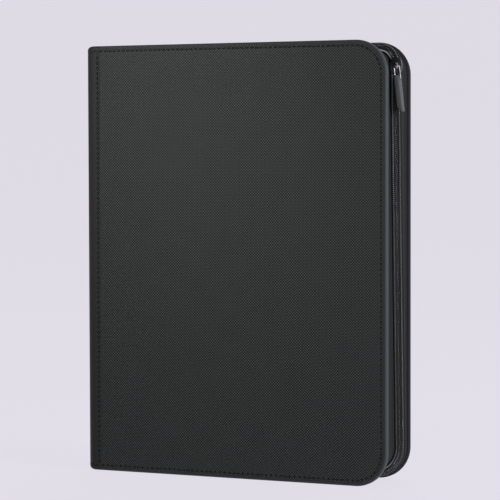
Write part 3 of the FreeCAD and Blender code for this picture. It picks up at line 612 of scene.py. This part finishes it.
# --- Materials ---
class Nodes:
    """A material's node tree, with short calls for the few nodes used here."""

    def __init__(self, name, **sockets):
        self.material = bpy.data.materials.new(name)
        self.material.use_nodes = True
        self.tree = self.material.node_tree
        self.shader = self.tree.nodes["Principled BSDF"]
        for socket, value in sockets.items():
            self.shader.inputs[socket.replace("_", " ")].default_value = value

    def node(self, kind, **inputs):
        made = self.tree.nodes.new(kind)
        for key, value in inputs.items():
            self.fill(made.inputs[key.replace("_", " ")], value)
        return made

    def fill(self, socket, value):
        """Link a socket, or set it where the value is a plain one."""
        if isinstance(value, bpy.types.NodeSocket):
            self.tree.links.new(value, socket)
        else:
            socket.default_value = value

    def uv(self, name):
        """A named UV map: its vector, then its two coordinates."""
        made = self.tree.nodes.new("ShaderNodeUVMap")
        made.uv_map = name
        split = self.node("ShaderNodeSeparateXYZ", Vector=made.outputs[0])
        return made.outputs[0], split.outputs[0], split.outputs[1]

    def math(self, operation, *values):
        made = self.tree.nodes.new("ShaderNodeMath")
        made.operation = operation
        for socket, value in zip(made.inputs, values):
            self.fill(socket, value)
        return made.outputs[0]

    def place(self):
        """Where a point lies on its object."""
        return self.tree.nodes.new("ShaderNodeTexCoord").outputs["Object"]

    def noise(self, vector, size, detail=3.0):
        made = self.node("ShaderNodeTexNoise", Vector=vector, Scale=1 / size, Detail=detail)
        return made.outputs["Fac"]

    def between(self, share, first, last):
        """A colour between two, by a share from 0 to 1."""
        ramp = self.tree.nodes.new("ShaderNodeValToRGB")
        ramp.color_ramp.elements[0].color = (*first, 1)
        ramp.color_ramp.elements[1].color = (*last, 1)
        self.tree.links.new(share, ramp.inputs[0])
        return ramp.outputs[0]

    def ranged(self, share, low, high):
        return self.node("ShaderNodeMapRange", Value=share, To_Min=low, To_Max=high).outputs[0]

    def color(self, socket):
        self.tree.links.new(socket, self.shader.inputs["Base Color"])

    def roughness(self, socket):
        self.tree.links.new(socket, self.shader.inputs["Roughness"])

    def bump(self, height, depth, strength=1.0):
        made = self.node("ShaderNodeBump", Height=height, Distance=depth, Strength=strength)
        self.tree.links.new(made.outputs[0], self.shader.inputs["Normal"])


def ripple(nodes, value, pitch):
    """A smooth ripple from 0 to 1 along a coordinate."""
    turned = nodes.math("MULTIPLY", value, 2 * pi / pitch)
    return nodes.math("MULTIPLY_ADD", nodes.math("SINE", turned), 0.5, 0.5)


# A Mix node's colour sockets
MIX_A = 6
MIX_B = 7
MIX_COLOR = 2


def paint_rim_light(nodes, color, rim_light):
    """A tone painted where the skin turns round the rim, standing for the light that falls on the
    rolled edge.
    """
    inset = nodes.uv("rim")[1]
    # Share of the painted rim light: full on the rim, none from 1.7 mm in.
    wear = nodes.node("ShaderNodeMapRange", Value=inset, From_Min=1.7 * MM, From_Max=0.9 * MM)
    mixed = nodes.tree.nodes.new("ShaderNodeMix")
    mixed.data_type = "RGBA"
    for socket, value in ((0, wear.outputs[0]), (MIX_A, color), (MIX_B, (*rim_light, 1))):
        nodes.fill(mixed.inputs[socket], value)
    return mixed.outputs[MIX_COLOR]


def skin_material(name, pitch, emboss, dark, light, tone=0.25, rim_light=None):
    """Leathercloth embossed with a fine diagonal cross-hatch, its colour darker in the grooves and
    lighter on the raised dots: painted shade and painted highlight.
    """
    nodes = Nodes(name, Roughness=0.5, Specular_IOR_Level=0.2)
    flat, u, v = nodes.uv("flat")
    rising = ripple(nodes, nodes.math("ADD", u, v), pitch * sqrt(2))
    falling = ripple(nodes, nodes.math("SUBTRACT", u, v), pitch * sqrt(2))
    raised = nodes.math("MULTIPLY", rising, falling)
    grain = nodes.noise(flat, 0.35 * MM, 4)
    mottle = nodes.noise(flat, 22 * MM, 4)
    # Colour: painted shade in the grooves and a painted highlight on the raised dots, over a random
    # mottle of the skin's own tone.
    level = nodes.math("MULTIPLY_ADD", mottle, tone, nodes.math("MULTIPLY", raised, 1.1))
    color = nodes.between(level, dark, light)
    if rim_light:
        color = paint_rim_light(nodes, color, rim_light)
    nodes.color(color)
    dullness = nodes.math("MULTIPLY_ADD", grain, 0.6, nodes.math("MULTIPLY", raised, 0.4))
    nodes.roughness(nodes.ranged(dullness, 0.42, 0.62))
    nodes.bump(nodes.math("MULTIPLY_ADD", grain, 0.25, raised), emboss)
    return nodes.material


def cloth_material(name, pitch, dark, light, sheen):
    """Twill: slanting ribs crossed by fine threads."""
    nodes = Nodes(name, Specular_IOR_Level=0.1, Sheen_Weight=sheen, Sheen_Roughness=0.4)
    flat, u, v = nodes.uv("flat")
    zigzag = nodes.math("PINGPONG", u, 4 * pitch)
    ribs = ripple(nodes, nodes.math("ADD", zigzag, v), pitch)
    slanted = nodes.math("SUBTRACT", v, nodes.math("MULTIPLY", zigzag, 0.4))
    threads = ripple(nodes, slanted, 0.45 * pitch)
    fuzz = nodes.noise(flat, 0.3 * MM, 4)
    level = nodes.math("MULTIPLY_ADD", ribs, 0.65, nodes.math("MULTIPLY", threads, 0.2))
    level = nodes.math("MULTIPLY_ADD", fuzz, 0.15, level)
    nodes.color(nodes.between(level, dark, light))
    nodes.roughness(nodes.ranged(fuzz, 0.6, 0.85))
    nodes.bump(level, 0.12 * MM)
    return nodes.material


def mottled_material(name, dark, light, size, detail, depth, **sockets):
    """Thread or pulp board: plies, fibres or flecks of one size."""
    nodes = Nodes(name, **sockets)
    flecks = nodes.noise(nodes.place(), size, detail)
    nodes.color(nodes.between(flecks, dark, light))
    nodes.bump(flecks, depth)
    return nodes.material


def gloss_material(
    name, dark, light, roughness, coat=0.0, metallic=0.0, grain=0.5 * MM, depth=0.01 * MM
):
    """Moulded plastic or plated metal with slight wear."""
    nodes = Nodes(name, Metallic=metallic, Coat_Weight=coat, Coat_Roughness=0.12)
    place = nodes.place()
    fine = nodes.noise(place, grain, 4)
    broad = nodes.noise(place, 8 * grain, 3)
    nodes.color(nodes.between(broad, dark, light))
    nodes.roughness(nodes.ranged(fine, roughness * 0.8, roughness * 1.25))
    nodes.bump(fine, depth)
    return nodes.material


def coil_material(name, dark, glint_color):
    """Glossy nylon wire with a painted highlight where each loop bends: a row of bright dots."""
    nodes = Nodes(name, Coat_Weight=0.8, Coat_Roughness=0.1)
    flat, across, run = nodes.uv("flat")
    glint_mask = nodes.node("ShaderNodeMapRange", Value=across, From_Min=2.2 * MM, From_Max=2.9 * MM)
    fine = nodes.noise(nodes.place(), 0.4 * MM, 3)
    painted_glint = nodes.math("MULTIPLY", glint_mask.outputs[0], nodes.ranged(fine, 0.75, 1.1))
    nodes.color(nodes.between(painted_glint, dark, glint_color))
    nodes.roughness(nodes.ranged(fine, 0.16, 0.3))
    return nodes.material


def leaf_material(name, film, weld):
    """Glossy film, its nine pockets set off by duller welds."""
    nodes = Nodes(name, Coat_Weight=0.5, Coat_Roughness=0.22)
    flat, u, v = nodes.uv("flat")
    masks = []
    for value, first, pocket in ((u, LEAF_MARGIN, POCKET_WIDE), (v, LEAF_FOOT, POCKET_TALL)):
        past_weld = nodes.math("SUBTRACT", value, first - WELD)
        place = nodes.math("FLOORED_MODULO", past_weld, pocket + WELD)
        masks.append(nodes.math("LESS_THAN", place, WELD))
    welded = nodes.math("MAXIMUM", *masks)
    dots = nodes.math("MULTIPLY", ripple(nodes, u, 1.0 * MM), ripple(nodes, v, 1.0 * MM))
    ripples = nodes.noise(flat, 30 * MM, 2)
    paleness = nodes.math("MULTIPLY", welded, nodes.ranged(dots, 0.5, 1.0))
    nodes.color(nodes.between(paleness, film, weld))
    dullness = nodes.math("MAXIMUM", welded, nodes.math("MULTIPLY", ripples, 0.3))
    nodes.roughness(nodes.ranged(dullness, 0.22, 0.65))
    pressed = nodes.math("MULTIPLY", welded, dots)
    nodes.bump(nodes.math("MULTIPLY_ADD", pressed, 0.2, ripples), 0.6 * MM)
    return nodes.material


# Ends of the skins' colour ramps: the wide spread paints the emboss's shade and highlight.
HATCH_SHADE_TONES = ((0.0004, 0.0005, 0.0004), (0.085, 0.09, 0.085))
WRAP_SHADE_TONES = ((0.012, 0.0125, 0.012), (0.03, 0.031, 0.03))
LINING_TONES = ((0.008, 0.008, 0.009), (0.022, 0.022, 0.024))
TAPE_TONES = ((0.0002, 0.0002, 0.0002), (0.024, 0.024, 0.023))
BINDING_TONES = ((0.008, 0.008, 0.008), (0.03, 0.03, 0.03))
# Slider: the plates take a darker copy of the gunmetal than the bridge: painted shade on the plates,
# painted light on the bridge.
SHADED_PLATE_TONES = ((0.03, 0.031, 0.03), (0.06, 0.061, 0.06))
METAL_TONES = ((0.14, 0.143, 0.14), (0.28, 0.283, 0.276))
TAB_TONES = ((0.034, 0.035, 0.034), (0.05, 0.051, 0.049))

# Painted rim light: the front's rolled edge is a pale blue-grey painted highlight, the back's a dark
# painted tone.
SKIN_MATERIALS = {
    side: skin_material(f"{side}_embossed_skin", EMBOSS_PITCH, 0.13 * MM, *HATCH_SHADE_TONES, 0.08, rim_light)
    for side, rim_light in (("front", (0.028, 0.035, 0.037)), ("back", (0.007, 0.0072, 0.0072)))
}
WRAP_MATERIAL = skin_material("wrap_skin", EMBOSS_PITCH, 0.04 * MM, *WRAP_SHADE_TONES)
LINING_MATERIAL = cloth_material("lining_cloth", 0.8 * MM, *LINING_TONES, 0.2)
TAPE_MATERIAL = cloth_material("zip_tape_cloth", 2.6 * MM, *TAPE_TONES, 0.0)
BINDING_MATERIAL = cloth_material("binding_cloth", 1.0 * MM, *BINDING_TONES, 0.3)
THREAD = (0.25 * MM, 2, 0.06 * MM)      # plies: size, detail and depth
THREAD_MATERIAL, SEWING_MATERIAL = [
    mottled_material(name, dark, light, *THREAD, Roughness=0.65, Specular_IOR_Level=0.25)
    for name, dark, light in (
        ("black_thread", (0.001, 0.001, 0.001), (0.004, 0.004, 0.004)),
        ("tape_thread", (0.02, 0.02, 0.02), (0.09, 0.09, 0.088)),
    )
]
# Front and back coil: lit and shaded copies of one nylon, the front's bends painted near white as
# highlight, the back's painted dimmer.
COIL_MATERIALS = {
    "front": coil_material("front_nylon_coil", (0.02, 0.02, 0.02), (1.0, 1.0, 1.0)),
    "back": coil_material("back_nylon_coil", (0.02, 0.02, 0.02), (0.16, 0.16, 0.16)),
}
SHADED_PLATE_MATERIAL = gloss_material("shaded_gunmetal", *SHADED_PLATE_TONES, 0.28, metallic=1.0)
METAL_MATERIAL = gloss_material("gunmetal", *METAL_TONES, 0.35, metallic=1.0)
TAB_MATERIAL = gloss_material("soft_tab", *TAB_TONES, 0.5, coat=0.05, grain=0.3 * MM, depth=0.03 * MM)
LEAF_MATERIAL = leaf_material("leaf_film", (0.008, 0.008, 0.009), (0.11, 0.11, 0.115))
BOARD_MATERIAL, FOAM_MATERIAL = [
    mottled_material(name, dark, light, 1.2 * MM, 6, 0.05 * MM, Roughness=0.85)
    for name, dark, light in (
        ("grey_board", (0.24, 0.21, 0.17), (0.4, 0.36, 0.3)),
        ("white_foam", (0.55, 0.55, 0.52), (0.75, 0.75, 0.72)),
    )
]


# --- Zip: coils, their sewing, the gusset's tapes, stops, slider and pull ---
def from_chain(points):
    """From the chain's own plane to the binder's frame."""
    c, s = cos(CHAIN_LEAN), sin(CHAIN_LEAN)
    x, y, z = points[..., 0], points[..., 1], points[..., 2]
    return np.stack([x, y * c - z * s + CHAIN_SHIFT, y * s + z * c + HEIGHT / 2], axis=-1)


def chain_axes(normals):
    """The chain's face and width directions, given its outward normals in its plane."""
    c, s = cos(CHAIN_FACE_TURN), sin(CHAIN_FACE_TURN)
    out = at_depth(normals, 0.0)
    back = np.tile([0.0, 1.0, 0.0], (len(normals), 1))
    return c * out - s * back, s * out + c * back


def chain_line(step):
    """The middle of the chain: points, face directions and width directions, in its plane."""
    counts = side_counts(CHAIN_START, 1 * MM)
    line, normals = three_sides(
        CHAIN_START, CHAIN_FAR, CHAIN_HIGH, -CHAIN_HIGH, CHAIN_TOP_RADIUS, CHAIN_LOW_RADIUS, counts
    )
    line, normals = resample(line, step, (normals,))
    normals = unit(normals)
    face, width = chain_axes(normals)
    return at_depth(line, 0.0), face, width


def zip_coil(side, sign):
    """One half of the chain: a wire coil whose heads reach between the other half's."""
    turns_step = 12
    points, face, width = chain_line(COIL_PITCH / turns_step)
    angle = np.arange(len(points)) * 2 * pi / turns_step + (pi if sign > 0 else 0)
    across = 1.45 * MM - 1.55 * MM * np.cos(angle)
    out = 0.85 * MM * np.sin(angle)
    line = points + sign * across[:, None] * width + out[:, None] * face
    sides = 6
    vertices, faces = tube(from_chain(line), COIL_WIRE, sides)
    run = np.arange(len(points)) * COIL_PITCH / turns_step
    pattern = np.repeat(np.stack([across, run], axis=1), sides, axis=0)
    piece = add_piece(f"{side}_coil", vertices, faces, pattern)
    settle(piece, COIL_MATERIALS[side], f"{side}_cover", f"{side}_zip_coil")


def coil_sewing(side, sign):
    """Sewing thread over the coil's legs, one stitch for each loop."""
    points, face, width = chain_line(COIL_PITCH)
    places = from_chain(points + sign * 1.75 * MM * width + 1.12 * MM * face)
    origin = from_chain(np.zeros((1, 3)))
    out = from_chain(face) - origin
    across = from_chain(width) - origin
    along = np.cross(across, out)
    stitch = capsule(1.5 * MM, 1.0 * MM, 0.55 * MM)
    piece = scatter(f"{side}_coil_sewing", stitch, places, along, across, out, twist=0.35)
    settle(piece, THREAD_MATERIAL, f"{side}_cover")


def gusset_line(share, sign, counts):
    """A line along the gusset. share runs from 0 at the cover to 1 at the chain's tape."""
    top, radius = HEIGHT / 2 - GUSSET_INSET, FORE_RADIUS - GUSSET_INSET
    at_cover, _ = three_sides(GUSSET_START, FORE - GUSSET_INSET, top, -top, radius, radius, counts)
    cover_points = at_depth(at_cover, sign * (INNER - 0.35 * MM)) + np.array([0, 0, HEIGHT / 2])
    chain_points = from_chain(chain_side(sign * GUSSET_EDGE, counts))
    return cover_points + share * (chain_points - cover_points)


def chain_side(across, counts):
    """A line on the tape's level, at a distance across the chain, in the chain's plane."""
    c, s = cos(CHAIN_FACE_TURN), sin(CHAIN_FACE_TURN)
    outwards = across * s + TAPE_LEVEL * c
    backwards = across * c - TAPE_LEVEL * s
    line, _ = three_sides(
        GUSSET_START, CHAIN_FAR + outwards, CHAIN_HIGH + outwards, -CHAIN_HIGH - outwards,
        CHAIN_TOP_RADIUS + outwards, CHAIN_LOW_RADIUS + outwards, counts,
    )
    return at_depth(line, backwards)


def zip_tape(side, sign):
    """Gusset cloth from its margin on the lining out to the coil's inner edge."""
    counts = side_counts(GUSSET_START, 2.5 * MM)
    level = sign * (INNER - 0.3 * MM)
    lines = []
    for inset in (9.2, 7.5, 5.5, 4.2, 3.4):
        line, _ = inset_sides(GUSSET_START, inset * MM, counts)
        lines.append(at_depth(line, level))
    wall_shares = (0.02, 0.05, 0.1, 0.2, 0.3, 0.42, 0.55, 0.68, 0.8, 0.9, 1.0)
    lines += [gusset_line(share, sign, counts) for share in wall_shares]
    for across in (3.8, 2.8, 1.6, 0.5):
        lines.append(from_chain(chain_side(sign * across * MM, counts)))
    foot = lines[5]
    taper_start = CHAIN_START - 3.5 * MM
    for k in range(6, len(lines)):
        t = np.clip((taper_start - lines[k][:, 0]) / (taper_start - GUSSET_START), 0, 1)
        t = (t * t * (3 - 2 * t))[:, None]
        lines[k] = lines[k] + (foot - lines[k]) * t * 0.97
    grid = np.stack(lines, axis=1)
    piece, area, flat = thin_sheet(f"{side}_tape", grid, 0.6 * MM)
    settle(piece, TAPE_MATERIAL, f"{side}_cover", f"{side}_zip_tape")
    for name, share, pitch in (("cover", 0.09, 2.6 * MM), ("chain", 0.93, 2.2 * MM)):
        tape_seam(f"{side}_tape_{name}_seam", side, sign, share, pitch)


def tape_seam(name, side, sign, share, pitch):
    """A row of stitches along the gusset's wall."""
    counts = side_counts(CHAIN_START, 2.5 * MM)
    here = gusset_line(share, sign, counts)
    beyond = gusset_line(share + 0.03, sign, counts)
    inside = here[:, 0] > CHAIN_START - 2 * MM
    here, beyond = resample(here[inside], pitch, (beyond[inside],))
    across = unit(beyond - here)
    along = unit(np.gradient(here, axis=0))
    outwards = unit(np.cross(along, across)) * -sign
    places = here + outwards * 0.36 * MM
    piece = scatter(name, capsule(pitch * 0.78, 0.55 * MM, 0.4 * MM), places, along, across, outwards)
    settle(piece, SEWING_MATERIAL, f"{side}_cover")


def rounded_block(outline, low, high, bevel, steps=3):
    """An outline in a plane (a, b), from one level to another, with rounded edges.

    Returns points (a, b, level) and faces."""
    outline = np.array(outline, float)
    ahead = np.roll(outline, -1, axis=0) - np.roll(outline, 1, axis=0)
    inwards = unit(np.stack([-ahead[:, 1], ahead[:, 0]], axis=1))
    centre = outline.mean(axis=0)
    flip = np.sign(((centre - outline) * inwards).sum(axis=1)).mean()
    inwards *= 1 if flip >= 0 else -1
    rings = [(inset, low + rise) for inset, rise in rounding(bevel, steps)]
    rings += [(inset, high - (level - low)) for inset, level in reversed(rings)]
    points = []
    for inset, level in rings:
        for p, n in zip(outline, inwards):
            q = p + n * inset
            points.append((q[0], q[1], level))
    return np.array(points), closed_bar(len(rings), len(outline))


def flat_block(outline, low, high, bevel, steps=3):
    """A rounded block with its levels along the first axis."""
    points, faces = rounded_block(outline, low, high, bevel, steps)
    return points[:, [2, 0, 1]], faces


def rectangle(left, first, right, last):
    return [(left, first), (right, first), (right, last), (left, last)]


def rounded_outline(corners, radius, spans=5):
    """A polygon with its corners rounded, corners listed in order."""
    found = []
    corners = [np.array(c, float) for c in corners]
    for i, corner in enumerate(corners):
        before = corners[i - 1] - corner
        after = corners[(i + 1) % len(corners)] - corner
        r = min(radius, 0.49 * np.linalg.norm(before), 0.49 * np.linalg.norm(after))
        a = corner + before / np.linalg.norm(before) * r
        b = corner + after / np.linalg.norm(after) * r
        found += curve(a, corner, b, spans)
    return np.array(found)


class SliderAxes:
    """The slider's own axes: out of the chain's face, across it and up it."""

    up = -SLIDE_AXIS
    across = -Vector(PULL_JOINT["axis"])
    out = across.cross(up)
    eye = Vector(PULL_JOINT["pos_m"])


def in_slider(points, origin, lean=0.0):
    """From (out, across, up) about an origin to the binder's frame."""
    c, s = cos(lean), sin(lean)
    across = np.array(SliderAxes.across) * c + np.array(SliderAxes.up) * s
    up = np.array(SliderAxes.up) * c - np.array(SliderAxes.across) * s
    axes = np.array([SliderAxes.out, across, up])
    return np.array(origin) + sum(points[:, i:i + 1] * axes[i] for i in range(3))


def zip_slider():
    """Face plate with flanges, back plate, divider and bridge."""
    eye_reach = 5.3 * MM
    centre = SliderAxes.eye - SliderAxes.out * eye_reach
    face_low = 2.1 * MM
    face_high = 3.3 * MM
    back_low = -4.0 * MM
    back_high = -2.8 * MM
    parts = []

    def shield(half, top, bottom):
        right = [(half * 0.62, top), (half, top * 0.45), (half, bottom * 0.2), (half * 0.72, bottom)]
        left = [(-x, y) for x, y in right]
        return rounded_outline(left[:1] + right + left[:0:-1], 1.8 * MM)

    parts.append(flat_block(shield(5.0 * MM, 6.2 * MM, -6.2 * MM), face_low, face_high, 0.4 * MM))
    parts.append(flat_block(shield(3.8 * MM, 6.2 * MM, -4.6 * MM), back_low, back_high, 0.4 * MM))
    for sign in (-1, 1):
        flange = [(face_low - 0.9 * MM, 5.05 * MM), (face_high - 0.1 * MM, 5.05 * MM)]
        flange += [(face_high - 0.1 * MM, 4.2 * MM), (face_low - 0.9 * MM, 4.45 * MM)]
        flange = rounded_outline([(a, sign * b) for a, b in flange], 0.3 * MM, 3)
        parts.append(rounded_block(flange, -3.4 * MM, 3.0 * MM, 0.3 * MM))
    divider = rounded_outline(rectangle(-0.2 * MM, 6.0 * MM, 0.2 * MM, 1.2 * MM), 0.15 * MM, 3)
    parts.append(flat_block(divider, back_high - 0.3 * MM, face_low + 0.3 * MM, 0.05 * MM))
    body = joined("slider_plates", parts, centre)
    settle(body, SHADED_PLATE_MATERIAL, "zip_slider", "slider_body")

    arch = []
    for k in range(25):
        angle = pi * (k / 24 - 0.5)
        reach = face_high - 0.2 * MM + 3.55 * MM * abs(cos(angle)) ** 0.7
        arch.append((reach, 2.3 * MM * copysign(abs(sin(angle)) ** 0.75, sin(angle))))
    points = []
    for reach, up in arch:
        for a, b in rounded_outline(rectangle(-1.15, -0.55, 1.15, 0.55), 0.35, 3) * MM:
            scale = hypot(reach - face_high, up) or 1.0
            way = ((reach - face_high) / scale, up / scale)
            points.append((reach + way[0] * b, a, up + way[1] * b))
    faces = closed_bar(len(arch), len(points) // len(arch))
    bridge = joined("slider_lug", [(np.array(points), faces)], centre)
    # The bridge in the lighter gunmetal copy: painted light.
    settle(bridge, METAL_MATERIAL, "zip_slider", "slider_bridge")


def joined(name, parts, origin, lean=0.0):
    """One piece from parts given on the slider's axes."""
    points = []
    faces = []
    for part_points, part_faces in parts:
        base = sum(len(p) for p in points)
        points.append(part_points)
        faces += [[base + i for i in face] for face in part_faces]
    return add_piece(name, in_slider(np.concatenate(points), origin, lean), faces)


def zip_pull():
    """Wire staple through the bridge, and the soft tab moulded on its legs."""
    lean = radians(5)
    half = 2.15 * MM
    line = [(0, -half, -12 * MM * t) for t in (1, 0.75, 0.5, 0.25)]
    line += [(0, -half + across, -down) for down, across in rounding(0.8 * MM, 6)]
    line += [(0, -p[1], p[2]) for p in reversed(line)]
    points, faces = tube(line, 0.6 * MM, 12)
    wire = joined("pull_staple", [(points, faces)], SliderAxes.eye, lean)
    settle(wire, METAL_MATERIAL, "zip_pull", "pull_wire")

    top, bottom, wide = -7.2 * MM, -36.6 * MM, 2.9 * MM
    corners = [(-2.5 * MM, top), (0.6 * MM, top), (wide, top - 4.0 * MM)]
    corners += [(wide, bottom + 0.8 * MM), (2.4 * MM, bottom), (0.4 * MM, bottom)]
    corners += [(-wide, bottom + 4.6 * MM), (-wide, top - 1.0 * MM)]
    outline = rounded_outline(corners, 0.6 * MM, 5)
    inner = [(a * 0.6, top + (b - top) * 0.9 - 1.6 * MM) for a, b in corners]
    inner = rounded_outline(inner, 0.8 * MM, 6)
    parts = [flat_block(outline, -1.1 * MM, 1.1 * MM, 0.55 * MM, 4)]
    parts.append(flat_block(inner, 0.9 * MM, 1.28 * MM, 0.15 * MM, 2))
    tab = joined("pull_grip", parts, SliderAxes.eye, lean)
    settle(tab, TAB_MATERIAL, "zip_pull", "pull_tab")


def end_stop(name):
    """Crimped metal stop, its edges rounded."""
    low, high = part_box(name)
    outline = rounded_outline(rectangle(low.y, low.z, high.y, high.z), 1.1 * MM)
    piece = add_piece(f"{name}_clamp", *flat_block(outline, low.x, high.x, 0.35 * MM))
    settle(piece, METAL_MATERIAL, "back_cover", name)


# --- Leaves and the strip that holds them ---
def leaf_stations():
    """Where the film rises and falls across a leaf and up it: pairs of place and share."""
    rise = 1.0 * MM

    def three_pockets(at, pocket):
        stations = []
        for _ in range(3):
            inner = [(at + rise + (pocket - 2 * rise) * t, 1) for t in (0, 0.33, 0.67, 1)]
            stations += [(at, 0), *inner, (at + pocket, 0)]
            at += pocket + WELD
        return stations

    across = [(x * MM, 0) for x in (-1.2, -0.6, 0, 0.8, 1.6, 2.4, 3.2, 4.0, 5.0, 8.0)]
    across += three_pockets(LEAF_MARGIN, POCKET_WIDE) + [(LEAF_WIDE, 0)]
    up = [(0, 0)] + three_pockets(LEAF_FOOT, POCKET_TALL) + [(LEAF_TALL, 0)]
    return across, up


def leaf(name):
    """One leaf: backing film with nine clear pockets welded on both sides."""
    low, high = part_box(name)
    middle = (low.y + high.y) / 2
    across, up = leaf_stations()
    layers = []
    pattern = []
    for sign in (-1, 1):
        for z, tall in up:
            for x, wide in across:
                thick = (0.15 + 0.1 * tall * wide) * MM
                layers.append((low.x + x, middle + sign * thick, low.z + z))
                pattern.append((x, z))
    faces = two_layers(len(up), len(across))
    piece = add_piece(f"{name}_pockets", layers, faces, np.array(pattern), smooth=False)
    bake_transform(piece)
    settle(piece, LEAF_MATERIAL, node=name)


def page_strip():
    """Woven strip on the spine with a fold between each two leaves."""
    low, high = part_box("page_binding_strip")
    roots = [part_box(name) for name in LEAVES]
    section = [(low.x, low.y), (low.x + 2.2 * MM, low.y)]
    for leaf_low, leaf_high in roots:
        y = (leaf_low.y + leaf_high.y) / 2
        x = leaf_low.x - 0.6 * MM
        for back, side_step in ((0.15, -0.7), (0, -0.35), (0, 0.35), (0.15, 0.7)):
            section.append((x - back * MM, y + side_step * MM))
    section += [(low.x + 2.2 * MM, high.y), (low.x, high.y)]
    levels = np.linspace(low.z, high.z, 30)
    points = [(x, y, z) for z in levels for x, y in section]
    run = run_along(np.array(section))
    pattern = np.array([(u, z) for z in levels for u in run])
    faces = closed_bar(len(levels), len(section))
    piece = add_piece("page_strip", points, faces, pattern, smooth=False)
    settle(piece, BINDING_MATERIAL, "spine", "page_binding_strip")


# --- Build it ---
for side, sign in (("front", -1), ("back", 1)):
    cover_skin(side, sign)
    cover_lining(side, sign)
    edge_stitches(side, sign)
    hinge_strip(side, sign)
    hinge_stitches(side, sign)
    inner_hinge(side, sign)
    zip_coil(side, sign)
    coil_sewing(side, sign)
    zip_tape(side, sign)
spine_skin()
spine_lining()
for panel in ("front_cover", "back_cover", "spine"):
    finish_with(frame["nodes"][f"{panel}_board"], BOARD_MATERIAL)
    finish_with(frame["nodes"][f"{panel}_foam"], FOAM_MATERIAL)
zip_slider()
zip_pull()
end_stop("zip_top_stop")
end_stop("zip_bottom_stop")
page_strip()
for leaf_name in LEAVES:
    leaf(leaf_name)


# --- Floor, light and camera ---
def backdrop():
    """A pale floor that curves up into a wall behind the object."""
    nodes = Nodes("backdrop_paint", Roughness=0.9, Specular_IOR_Level=0.1)
    nodes.shader.inputs["Base Color"].default_value = (0.06, 0.058, 0.062, 1)
    nodes.shader.inputs["Emission Color"].default_value = (0.735, 0.712, 0.785, 1)
    nodes.shader.inputs["Emission Strength"].default_value = 0.97
    half, near, far, tall, radius = 6.0, -4.0, 3.0, 5.0, 1.5
    line = [(near, 0)] + [(far - back, up) for back, up in rounding(radius, 16)] + [(far, tall)]
    points = [(x, y, z) for y, z in line for x in (-half, half)]
    floor = add_piece("backdrop", points, lattice(len(line), 2))
    floor.location.z = -0.0002
    finish_with(floor, nodes.material)


def aimed_light(name, kind, place, target, power):
    light = bpy.data.lights.new(name, kind)
    light.energy = power
    lamp = bpy.data.objects.new(name, light)
    lamp.location = place
    lamp.rotation_euler = (Vector(target) - Vector(place)).to_track_quat("-Z", "Y").to_euler()
    bpy.context.scene.collection.objects.link(lamp)
    return light


def area_light(name, place, target, size, power, tint=(1, 1, 1)):
    light = aimed_light(name, "AREA", place, target, power)
    light.shape = "RECTANGLE"
    light.size, light.size_y = size
    light.color = tint


def spot_light(name, place, target, spread, radius, power):
    light = aimed_light(name, "SPOT", place, target, power)
    light.spot_size = radians(spread)
    light.spot_blend = 1.0
    light.shadow_soft_size = radius


def studio():
    world = bpy.data.worlds.new("studio")
    world.use_nodes = True
    world.node_tree.nodes["Background"].inputs["Color"].default_value = (0.95, 0.96, 1.0, 1)
    world.node_tree.nodes["Background"].inputs["Strength"].default_value = 0.05
    bpy.context.scene.world = world
    middle = (0, 0, HEIGHT / 2)
    area_light("key", (-0.42, -0.46, 0.64), middle, (0.4, 0.4), 1.0, (1, 0.99, 0.97))
    spot_light("pool", (-0.45, -1.0, 0.7), (-0.06, -0.03, 0.28), 24, 0.12, 24)
    area_light("edge", (1.45, -0.25, 0.4), middle, (0.25, 0.7), 24, (0.9, 0.95, 1.0))
    area_light("top", (0.3, 0.3, 1.8), middle, (1.5, 1.0), 4)


def camera():
    """The photograph's view: a long lens, slightly to the right of the front."""
    azimuth, elevation, roll = radians(24.317), radians(2.478), radians(-0.156)
    distance, aside, above = 1.7945, 3.561 * MM, 8.132 * MM
    level = cos(elevation)
    back = Vector((sin(azimuth) * level, -cos(azimuth) * level, sin(elevation)))
    right = (-back).cross(Vector((0, 0, 1))).normalized()
    up = right.cross(-back)
    turned_right = right * cos(roll) + up * sin(roll)
    turned_up = up * cos(roll) - right * sin(roll)
    data = bpy.data.cameras.new("camera")
    data.sensor_width = 36
    data.lens = 158.79
    data.clip_start, data.clip_end = 0.05, 50
    seen = bpy.data.objects.new("camera", data)
    place = Vector((0, 0, HEIGHT / 2)) + back * distance + turned_right * aside + turned_up * above
    turned = Matrix((turned_right, turned_up, back)).transposed()
    seen.matrix_world = Matrix.Translation(place) @ turned.to_4x4()
    bpy.context.scene.collection.objects.link(seen)
    bpy.context.scene.camera = seen


backdrop()
studio()
camera()
bpy.context.scene.view_settings.view_transform = "Standard"
